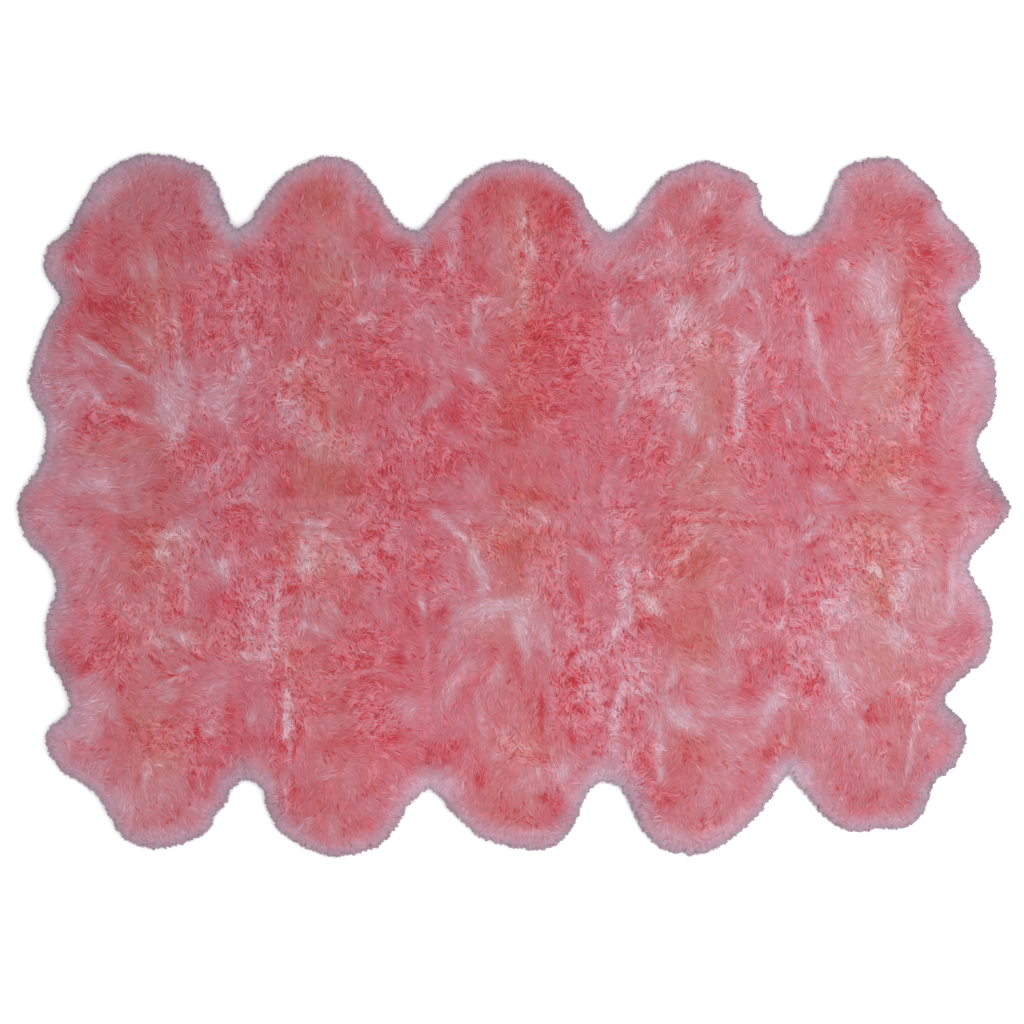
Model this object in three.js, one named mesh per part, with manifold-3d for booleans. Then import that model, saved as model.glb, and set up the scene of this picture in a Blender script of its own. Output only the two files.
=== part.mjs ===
// A large rug of ten long-wool sheepskins, sewn edge to edge in two rows of five.
//
// Millimetres, +Z up. The rug lies flat on Z = 0, skin side down, with its middle over the origin.
// +X runs along the two rows and +Y points to the back row. Each pelt is one cut piece, the skin with
// its own wool on, and is one closed mesh that reaches as far as the wool does.

import * as THREE from 'three';
import { mergeVertices } from 'three/addons/utils/BufferGeometryUtils.js';
import Module from 'manifold-3d';

const wasm = await Module();
wasm.setup();

// Driving dimensions.
const PILE_HEIGHT = 55;
const SEAM_GAP = 0.3;
const SEAM_DIP = 12;        // how far the pile parts downwards along a seam
const SEAM_DIP_WIDTH = 22;  // from the seam to where the pile is at full height again
const RIM_STEP = 26;        // spacing of the facets along the outer rim
const SEAM_STEP = 60;       // spacing of the facets along a seam
const FAR_OUT = 1500;       // well clear of the rug on every side, where the seam cuts end
const CLEARANCE = 5;        // how far the seam cuts run on above the wool and below the skin
const HOLD_BACK = 0.9;      // share of an inset that a point keeps before a tight lobe crowds it out

// The rounded side of the wool, from the skin's cut edge on the floor up to the top of the pile.
const RIM_PROFILE = [
  { inset: 20, height: 0 },
  { inset: 0, height: 13 },
  { inset: 4, height: 30 },
  { inset: 14, height: 45 },
  { inset: 32, height: PILE_HEIGHT },
];

// The outer rim of each pelt as the wool reaches, [x, y], walked clockwise as seen from above. It starts
// at the notch or tip where the last pelt ends. A smooth curve runs through each pelt's points.
const RIMS = {
  back_1: [
    [-1323, 5], [-1302, 48], [-1262, 105], [-1250, 150], [-1242, 210], [-1262, 255], [-1290, 325],
    [-1276, 390], [-1244, 480], [-1204, 560], [-1243, 605], [-1250, 648], [-1238, 692], [-1195, 722],
    [-1152, 800], [-1100, 880], [-1030, 920], [-950, 936], [-880, 920], [-825, 897], [-790, 850],
    [-772, 790], [-747, 727],
  ],
  back_2: [
    [-747, 727], [-702, 757], [-665, 815], [-622, 868], [-560, 908], [-490, 929], [-430, 913],
    [-385, 865], [-345, 805], [-300, 747], [-255, 724],
  ],
  back_3: [
    [-255, 724], [-205, 780], [-150, 845], [-75, 900], [20, 919], [98, 899], [132, 869], [172, 838],
    [205, 768], [258, 721],
  ],
  back_4: [
    [258, 721], [310, 757], [355, 822], [400, 875], [460, 902], [515, 919], [565, 899], [635, 869],
    [656, 835], [660, 783], [705, 735], [750, 709],
  ],
  back_5: [
    [750, 709], [808, 740], [840, 812], [873, 887], [930, 917], [1012, 923], [1055, 896], [1104, 850],
    [1137, 812], [1146, 775], [1192, 732], [1240, 670], [1240, 605], [1184, 545], [1205, 485],
    [1250, 430], [1277, 390], [1284, 310], [1268, 225], [1235, 180], [1247, 110], [1300, 42],
    [1327, -12],
  ],
  front_5: [
    [1327, -12], [1296, -60], [1240, -110], [1210, -160], [1234, -215], [1268, -275], [1273, -345],
    [1255, -412], [1190, -465], [1144, -527], [1190, -568], [1209, -605], [1195, -660], [1162, -706],
    [1118, -738], [1100, -795], [1058, -854], [985, -860], [920, -866], [860, -853], [805, -802], [733, -706],
  ],
  front_4: [
    [733, -706], [690, -768], [652, -822], [598, -874], [555, -905], [500, -927], [425, -925],
    [350, -876], [318, -808], [286, -752], [248, -733],
  ],
  front_3: [
    [248, -733], [198, -757], [176, -812], [158, -852], [102, -912], [30, -914], [-40, -902],
    [-92, -880], [-160, -820], [-200, -770], [-225, -746],
  ],
  front_2: [
    [-225, -746], [-285, -802], [-310, -852], [-355, -905], [-420, -928], [-490, -933], [-560, -908],
    [-622, -868], [-656, -806], [-672, -745], [-720, -728],
  ],
  front_1: [
    [-720, -728], [-756, -757], [-770, -797], [-800, -820], [-812, -862], [-870, -895], [-950, -912],
    [-1030, -892], [-1073, -838], [-1100, -785], [-1128, -752], [-1205, -705], [-1248, -628],
    [-1236, -593], [-1186, -556], [-1192, -490], [-1235, -412], [-1245, -360], [-1238, -285],
    [-1217, -222], [-1245, -142], [-1295, -95], [-1320, -35], [-1323, 5],
  ],
};

// The seams, [x, y]. The middle seam runs from the left tip to the right tip and is listed in the five
// stretches between the upright seams. Each upright seam runs from the middle seam out to its notches.
const MIDDLE_SEAM = [
  [[-1323, 5], [-1040, -3], [-738, 0]],
  [[-738, 0], [-490, 9], [-238, 12]],
  [[-238, 12], [20, 18], [252, 10]],
  [[252, 10], [500, -4], [740, -16]],
  [[740, -16], [900, -4], [1050, -12], [1327, -12]],
];
const UPRIGHT_SEAMS = {
  back: [
    [[-738, 0], [-746, 250], [-734, 500], [-747, 727]],
    [[-238, 12], [-246, 300], [-258, 560], [-255, 724]],
    [[252, 10], [256, 230], [264, 480], [258, 721]],
    [[740, -16], [738, 220], [746, 480], [750, 709]],
  ],
  front: [
    [[-738, 0], [-742, -250], [-730, -500], [-720, -728]],
    [[-238, 12], [-242, -250], [-230, -500], [-225, -746]],
    [[252, 10], [254, -250], [246, -500], [248, -733]],
    [[740, -16], [736, -260], [738, -500], [733, -706]],
  ],
};

const PELTS_IN_A_ROW = MIDDLE_SEAM.length;
const ROWS = [
  { name: 'back', out: 1 },    // out: the way from the middle seam to the row's rim, along Y
  { name: 'front', out: -1 },
];

// Dyed wool, a little darker where a pelt came out of the dye bath darker.
const WOOL_COLOURS = {
  back: ['#bd6068', '#c2636d', '#c4646f', '#c66c76', '#c96e79'],
  front: ['#bf656d', '#c3666e', '#c4686f', '#c76e77', '#c87480'],
};
const WOOL_ROUGHNESS = 0.95;

// A smooth curve through hand-set points, cut into equal steps. Returns Vector2s, both ends included.
function smooth(points, step) {
  const curve = new THREE.CatmullRomCurve3(
    points.map(([x, y]) => new THREE.Vector3(x, y, 0)), false, 'centripetal',
  );
  const count = Math.max(2, Math.round(curve.getLength() / step));
  return curve.getSpacedPoints(count).map((p) => new THREE.Vector2(p.x, p.y));
}

// A closed ring from stretches that each begin where the one before ends, counter-clockwise from above.
function ring(stretches) {
  const points = stretches.flatMap((stretch) => stretch.slice(0, -1));
  return THREE.ShapeUtils.area(points) > 0 ? points : points.reverse();
}

// The ring moved inwards by a distance. A tight lobe has no room for all of its points, so points that
// come closer to the old ring than the distance are drawn back onto the line between those that hold.
function inset(points, distance) {
  if (distance === 0) {
    return points.map((p) => p.clone());
  }
  const count = points.length;
  const moved = points.map((p, i) => {
    const before = points[(i + count - 1) % count];
    const after = points[(i + 1) % count];
    const along = after.clone().sub(before).normalize();
    return new THREE.Vector2(p.x - along.y * distance, p.y + along.x * distance);
  });
  const reach = Math.ceil((2 * distance) / RIM_STEP) + 2;
  const crowded = moved.map((p, i) => {
    for (let offset = -reach; offset <= reach; offset += 1) {
      const other = points[(i + offset + count) % count];
      if (p.distanceTo(other) < distance * HOLD_BACK) {
        return true;
      }
    }
    return false;
  });
  return moved.map((p, i) => {
    if (!crowded[i]) {
      return p;
    }
    let back = 1;
    while (crowded[(i - back + count) % count]) {
      back += 1;
    }
    let ahead = 1;
    while (crowded[(i + ahead) % count]) {
      ahead += 1;
    }
    const from = moved[(i - back + count) % count];
    const to = moved[(i + ahead) % count];
    return from.clone().lerp(to, back / (back + ahead));
  });
}

// A closed solid through rings of equal length, each counter-clockwise from above, from bottom to top.
function loft(rings) {
  const count = rings[0].points.length;
  const positions = rings.flatMap(({ points, height }) => points.flatMap((p) => [p.x, p.y, height]));
  const triangles = [];
  for (let level = 0; level < rings.length - 1; level += 1) {
    for (let i = 0; i < count; i += 1) {
      const low = level * count + i;
      const lowNext = level * count + ((i + 1) % count);
      triangles.push(low, lowNext, low + count);
      triangles.push(lowNext, lowNext + count, low + count);
    }
  }
  const lids = [
    { ring: rings[0], start: 0, up: false },
    { ring: rings.at(-1), start: (rings.length - 1) * count, up: true },
  ];
  for (const { ring: lid, start, up } of lids) {
    for (const [a, b, c] of THREE.ShapeUtils.triangulateShape(lid.points, [])) {
      const facesUp = THREE.ShapeUtils.area([lid.points[a], lid.points[b], lid.points[c]]) > 0;
      triangles.push(...(facesUp === up ? [a, b, c] : [c, b, a]).map((corner) => corner + start));
    }
  }
  const geometry = new THREE.BufferGeometry();
  geometry.setAttribute('position', new THREE.Float32BufferAttribute(positions, 3));
  geometry.setIndex(triangles);
  return geometry;
}

function toSolid(geometry) {
  const merged = mergeVertices(geometry);
  return new wasm.Manifold(new wasm.Mesh({
    numProp: 3,
    vertProperties: Float32Array.from(merged.attributes.position.array),
    triVerts: Uint32Array.from(merged.index.array),
  }));
}

function toGeometry(solid) {
  const mesh = solid.getMesh();
  const geometry = new THREE.BufferGeometry();
  geometry.setAttribute('position', new THREE.BufferAttribute(mesh.vertProperties, 3));
  geometry.setIndex(new THREE.BufferAttribute(mesh.triVerts, 1));
  geometry.computeVertexNormals();
  return geometry;
}

// The whole rug as one slab of wool with a rounded, scalloped rim, before the seams divide it.
function woolSlab(outline) {
  return toSolid(loft(RIM_PROFILE.map((step) => ({
    points: inset(outline, step.inset),
    height: step.height,
  }))));
}

// An upright seam, from the middle seam out past the rim.
function uprightCut(row, seam) {
  const line = smooth(UPRIGHT_SEAMS[row.name][seam], SEAM_STEP);
  return [...line, new THREE.Vector2(line.at(-1).x, row.out * FAR_OUT)];
}

// The unsewn side of an end pelt's column, from the tip of the middle seam out past the rim.
function openSide(row, tip) {
  const farX = Math.sign(tip.x) * FAR_OUT;
  return [tip, new THREE.Vector2(farX, tip.y), new THREE.Vector2(farX, row.out * FAR_OUT)];
}

// The upright column that holds one pelt: seams on its sewn sides, and well clear of the rim elsewhere.
// Its top edges lean in, so that the pile dips along each seam.
function peltColumn(row, column) {
  const middle = smooth(MIDDLE_SEAM[column], SEAM_STEP);
  const last = column === PELTS_IN_A_ROW - 1;
  const left = column === 0 ? openSide(row, middle[0]) : uprightCut(row, column - 1);
  const right = last ? openSide(row, middle.at(-1)) : uprightCut(row, column);
  const points = ring([middle, right, [right.at(-1), left.at(-1)], [...left].reverse()]);
  const side = SEAM_GAP / 2;
  const lean = SEAM_DIP_WIDTH / SEAM_DIP;
  return toSolid(loft([
    { points: insetCorners(points, side), height: -CLEARANCE },
    { points: insetCorners(points, side), height: PILE_HEIGHT - SEAM_DIP },
    {
      points: insetCorners(points, side + (SEAM_DIP + CLEARANCE) * lean),
      height: PILE_HEIGHT + CLEARANCE,
    },
  ]));
}

// The ring moved inwards by a distance, each side parallel to itself and each corner kept sharp.
function insetCorners(points, distance) {
  const count = points.length;
  return points.map((p, i) => {
    const into = p.clone().sub(points[(i + count - 1) % count]).normalize();
    const away = points[(i + 1) % count].clone().sub(p).normalize();
    const inwards = new THREE.Vector2(-into.y - away.y, into.x + away.x).normalize();
    const spread = inwards.dot(new THREE.Vector2(-into.y, into.x));
    return p.clone().addScaledVector(inwards, distance / spread);
  });
}

function pelt(slab, row, column) {
  const geometry = toGeometry(slab.intersect(peltColumn(row, column)));
  const material = new THREE.MeshStandardMaterial({
    color: WOOL_COLOURS[row.name][column],
    roughness: WOOL_ROUGHNESS,
    metalness: 0,
  });
  const mesh = new THREE.Mesh(geometry, material);
  mesh.name = `pelt_${row.name}_${column + 1}`;
  return mesh;
}

const outline = ring(Object.values(RIMS).map((points) => smooth(points, RIM_STEP)));
const slab = woolSlab(outline);
const group = new THREE.Group();
for (const row of ROWS) {
  for (let column = 0; column < PELTS_IN_A_ROW; column += 1) {
    group.add(pelt(slab, row, column));
  }
}
const middle = new THREE.Box2().setFromPoints(outline).getCenter(new THREE.Vector2());
group.position.set(-middle.x, -middle.y, 0);

export default group;
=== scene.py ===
import math

import bpy
import numpy as np
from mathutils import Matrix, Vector
from mathutils.bvhtree import BVHTree
from mathutils.kdtree import KDTree


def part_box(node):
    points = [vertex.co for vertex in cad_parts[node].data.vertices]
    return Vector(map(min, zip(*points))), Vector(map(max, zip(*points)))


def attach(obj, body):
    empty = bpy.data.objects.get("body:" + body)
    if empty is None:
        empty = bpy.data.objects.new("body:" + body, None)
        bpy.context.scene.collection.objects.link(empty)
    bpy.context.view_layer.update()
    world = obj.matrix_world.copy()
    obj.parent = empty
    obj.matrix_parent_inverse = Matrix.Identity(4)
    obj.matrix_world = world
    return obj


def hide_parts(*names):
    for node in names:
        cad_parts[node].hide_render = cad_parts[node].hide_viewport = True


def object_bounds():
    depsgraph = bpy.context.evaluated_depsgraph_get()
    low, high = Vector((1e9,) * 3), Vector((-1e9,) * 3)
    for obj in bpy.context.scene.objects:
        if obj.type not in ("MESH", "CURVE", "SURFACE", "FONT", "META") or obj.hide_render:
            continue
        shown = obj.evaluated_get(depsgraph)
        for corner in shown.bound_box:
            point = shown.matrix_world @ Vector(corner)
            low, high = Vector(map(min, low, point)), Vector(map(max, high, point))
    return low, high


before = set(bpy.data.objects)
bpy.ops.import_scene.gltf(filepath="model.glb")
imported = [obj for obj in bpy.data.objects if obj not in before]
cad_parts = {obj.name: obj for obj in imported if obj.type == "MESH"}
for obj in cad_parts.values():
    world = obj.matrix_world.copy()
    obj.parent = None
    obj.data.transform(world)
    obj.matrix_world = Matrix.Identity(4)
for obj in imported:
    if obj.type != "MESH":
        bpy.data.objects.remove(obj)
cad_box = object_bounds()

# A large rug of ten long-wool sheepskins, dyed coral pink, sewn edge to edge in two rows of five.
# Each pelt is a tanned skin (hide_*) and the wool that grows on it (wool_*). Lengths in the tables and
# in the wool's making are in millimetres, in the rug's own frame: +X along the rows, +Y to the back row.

MM = 0.001
PELTS = [f"pelt_{row}_{column}" for row in ("back", "front") for column in range(1, 6)]
SEED = 1893

# The skin and the wool.
SKIN_THICKNESS = 2.5
SKIN_TOP = SKIN_THICKNESS + 0.5
RIM_HEIGHT = 13.0        # the part's widest line, where the wool at the rim reaches furthest out
SKIN_INSET = 20.0        # from that line in to the skin's cut edge
PILE_HEIGHT = 55.0
PILE_UNEVENNESS = 6.0    # of that, kept free for tufts that stand above the rest
RIM_PILE = 14.0          # how high the pile still is at the rim
SHOULDER = 60.0          # from the rim in to where the pile has its full height
STAPLE_SPACING = 12.0    # between the small tufts that fleece grows in
RIM_STAPLE_SPACING = 9.0
ROOTS_FROM = SKIN_INSET - 4    # how far in from the rim the outermost staples grow
RIM_BAND = 26.0          # how far in from the skin's cut edge the rim's own wool grows
CURLY_FROM = 55.0        # how far in from the rim curly wool starts
OVERHANG = 26.0          # from the rim in to where its wool starts to turn down
LOWEST_TIP = 3.0         # how far above the floor the lowest tips at the rim end
SPLAYED_FROM = 30.0      # from the rim in to where all the wool points outwards
SPLAYED_TO = 85.0        # from the rim in to where it points only as the comb left it
COMBING_REACH = 90.0     # how far around each of its places a stroke of the comb is felt
SEAM_DIP = 3.0           # how far the pile parts downwards along a seam
BACK_SPACING = 492.0     # from the middle of one pelt to the middle of the next
BACK_WIDTH = 110.0       # of the stretch over the animal's back, to each side
RIM_LILAC_WIDTH = 74.0       # how far in the rim's grey-lilac comes, partly painted shade
UNDERWOOL_DEPTH = {"smooth": 2.6, "curly": 4.0}    # how far the dense wool lies below the top of the pile
UNDERWOOL_STEP = 13.0
UNDERWOOL_SHARE = 0.12   # of the UV map OFBake, the underwool's share; the rest is the wisps'
GROUND_STEP = 6.0        # between the places where the ground is felt for

# How each kind of wool grows. A wool fibre is 0.03 mm thick: one too fine to show is drawn as a wisp of
# many. First how many wisps a staple has, and a wisp's reach from root to tip seen from above, its width
# and how far its way strays. Then how far apart locks are, how much a lock's tips gather, how far its way
# strays and how far it bows. Then how deep roots and tips lie below the top of the pile, and how uneven
# that is. Then how red the wool is painted between the locks, as painted shade in the partings, how much
# wisps differ in paleness, and how many knees a wisp has. Last, how far along a wisp is the place whose
# colour it mostly takes, and how far each end keeps its own.
SMOOTH = {
    "wisps": 20, "reach": 32.0, "width": 3.3, "stray": 0.22,
    "lock": 30.0, "gather": 0.15, "lock_stray": 0.32, "bow": 0.0,
    "root_depth": 3.0, "tip_depth": 0.3, "loft": 1.4,
    "parting": 0.05, "speckle": 0.04, "knees": 0, "shows": 0.66, "sharp": 0.15,
}
CURLY = {
    "wisps": 8, "reach": 25.0, "width": 3.6, "stray": 0.34,
    "lock": 25.0, "gather": 0.42, "lock_stray": 0.75, "bow": 5.0,
    "root_depth": 4.0, "tip_depth": 1.2, "loft": 2.0,
    "parting": 0.12, "speckle": 0.09, "knees": 1, "shows": 0.55, "sharp": 0.6,
}
RIM = {
    "wisps": 12, "reach": 30.0, "width": 2.8, "stray": 0.16,
    "lock": 13.0, "gather": 0.40, "lock_stray": 0.15, "bow": 0.6,
    "root_depth": 3.5, "tip_depth": 1.0, "loft": 2.4,
    "parting": 0.10, "speckle": 0.25, "knees": 1, "shows": 0.6, "sharp": 0.5,
}

# Tresses lie over the rest: strands side by side in one arc, painted pale as a highlight where they catch
# the light, with red strands between that paint the shade of the partings. First how far apart tresses
# are, how many strands each has and how far apart those are. Then a strand's reach and width, how far its
# way strays and how far it bows. Then how much paler (painted highlight) or redder (painted shade) it is
# than the wool around it, and what share is red. Last, the places along it, from 0 to 1, how far each
# keeps its own colour, how high it lies, and how far in from the rim tresses start.
CURLED_TRESS = {
    "spacing": 24.0, "strands": 6, "apart": 4.0, "reach": 32.0, "width": 3.6, "stray": 0.70, "bow": 7.0,
    "pale": 0.18, "red": -0.5, "red_share": 0.25,
    "steps": (0.0, 0.34, 0.7, 1.0), "sharp": 0.6, "above": 0.2, "from_rim": 35.0,
}
SMOOTH_TRESS = {
    "spacing": 26.0, "strands": 4, "apart": 4.5, "reach": 40.0, "width": 3.0, "stray": 0.22, "bow": 3.0,
    "pale": 0.08, "red": -0.4, "red_share": 0.35,
    "steps": (0.0, 0.5, 1.0), "sharp": 0.6, "above": 0.2, "from_rim": 45.0,
}
# Slits are short dark red strands laid over the pile: painted shade of the gaps where the wool stands
# open down to its depth.
SHADED_SLIT = {
    "spacing": 10.0, "strands": 1, "apart": 0.0, "reach": 36.0, "width": 4.8, "stray": 0.22, "bow": 3.0,
    "pale": 0.0, "red": -0.95, "red_share": 1.0,
    "steps": (0.0, 0.5, 1.0), "sharp": 0.3, "above": 0.6, "from_rim": 40.0,
}
CURLED = 0.42            # how curly the wool is where tresses are curled ones
OPENED = 0.68            # how much has to come together for a slit of painted shade to lie there

# How wide a ribbon is at each of its places along, for one of two, three or four places. At the rim the
# tips were clipped, so they end blunt, and this wide.
FULLNESS = {2: (1.0, 0.0), 3: (0.0, 1.0, 0.0), 4: (0.0, 1.0, 0.75, 0.0)}
CLIPPED_TIP = 0.45
LOOSE_SHARE = 0.03       # of the wisps, those that stand a little out of the pile
DEPTH_SHADE_REDNESS = 0.26      # how much redder a wisp is at its root than its tip, as painted shade of depth
SOFTNESS = 0.96          # how far a wisp is shaded as part of the pile rather than as a thing by itself
TRANSLUCENCE = 0.28      # how far the pile is shaded by its slope: wool lets light through its heights


# Where the pile was brushed: [x, y, the way the tips point in degrees from +X].
COMBING = [
    (-1050, 800, 130), (-960, 860, 95), (-850, 800, 30), (-1050, 680, -38), (-930, 680, -42),
    (-1120, 560, -30), (-1000, 520, -42), (-1080, 400, -32), (-940, 420, -45), (-900, 560, -75),
    (-860, 440, -88), (-1180, 330, 190), (-1060, 280, -50), (-880, 300, -60), (-810, 620, -70),
    (-780, 500, 80), (-820, 360, 60), (-1160, 160, 180), (-1000, 150, 20), (-850, 160, -70),
    (-700, 660, -50), (-560, 820, 110), (-480, 860, 80), (-560, 700, -32), (-450, 700, -40),
    (-600, 560, -82), (-480, 560, -50), (-360, 640, -70), (-600, 400, -85), (-450, 400, -8),
    (-330, 420, -20), (-650, 280, 60), (-480, 250, -40), (-330, 260, -60), (-600, 120, -80),
    (-400, 120, -75), (-150, 760, 115), (0, 840, 90), (120, 820, 60), (-180, 600, -70), (-60, 700, -75),
    (80, 700, -85), (180, 640, -80), (-100, 520, -8), (20, 560, 60), (120, 500, 8), (-180, 400, -35),
    (-60, 330, -50), (80, 360, 10), (190, 400, -20), (-150, 180, -60), (30, 180, -80), (160, 180, -70),
    (330, 780, 140), (500, 850, 90), (620, 790, 40), (300, 640, 60), (440, 680, 80), (560, 700, -20),
    (560, 580, 48), (440, 500, 72), (600, 450, 16), (660, 520, -80), (400, 340, 52), (520, 330, -80),
    (610, 300, 40), (690, 400, 60), (330, 180, 60), (500, 160, -85), (660, 160, -70), (850, 620, -80),
    (900, 830, 120), (1010, 860, 80), (1090, 780, 40), (950, 720, 14), (950, 580, -52), (1080, 640, -60),
    (1000, 460, 70), (1160, 640, 10), (940, 350, 24), (1060, 360, -78), (1180, 440, 5), (1210, 320, 0),
    (820, 400, -72), (1150, 200, -20), (900, 160, -70), (1050, 140, -50), (-1180, -60, 180),
    (-1000, -60, -20), (-850, -60, -60), (-1120, -300, 200), (-1000, -300, -50), (-850, -300, -70),
    (-1150, -480, 200), (-1000, -500, -30), (-850, -500, 10), (-1130, -640, 200), (-980, -700, -80),
    (-860, -700, -70), (-940, -840, -90), (-620, -120, -70), (-480, -120, -20), (-340, -120, -60),
    (-620, -360, -70), (-480, -330, -80), (-340, -360, -40), (-620, -560, -80), (-480, -540, 5),
    (-330, -560, 10), (-580, -760, -100), (-460, -800, -80), (-340, -760, -50), (-140, -120, -50),
    (20, -120, -80), (160, -120, -70), (-140, -360, 60), (20, -340, -70), (160, -360, -75),
    (-140, -560, -100), (20, -540, -85), (160, -560, -80), (-100, -760, -120), (40, -820, -90),
    (130, -740, -60), (360, -120, 60), (500, -120, 40), (640, -120, -70), (360, -360, -60),
    (500, -360, -70), (640, -360, -80), (360, -560, -75), (500, -560, -85), (640, -560, -70),
    (380, -780, -120), (500, -840, -90), (620, -760, -50), (850, -120, -60), (980, -120, -70),
    (1120, -120, -10), (850, -360, -70), (1000, -330, -60), (1180, -330, 0), (850, -560, -80),
    (1000, -560, -80), (1150, -600, -20), (860, -760, -110), (980, -820, -90), (1070, -760, -50),
]
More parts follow.
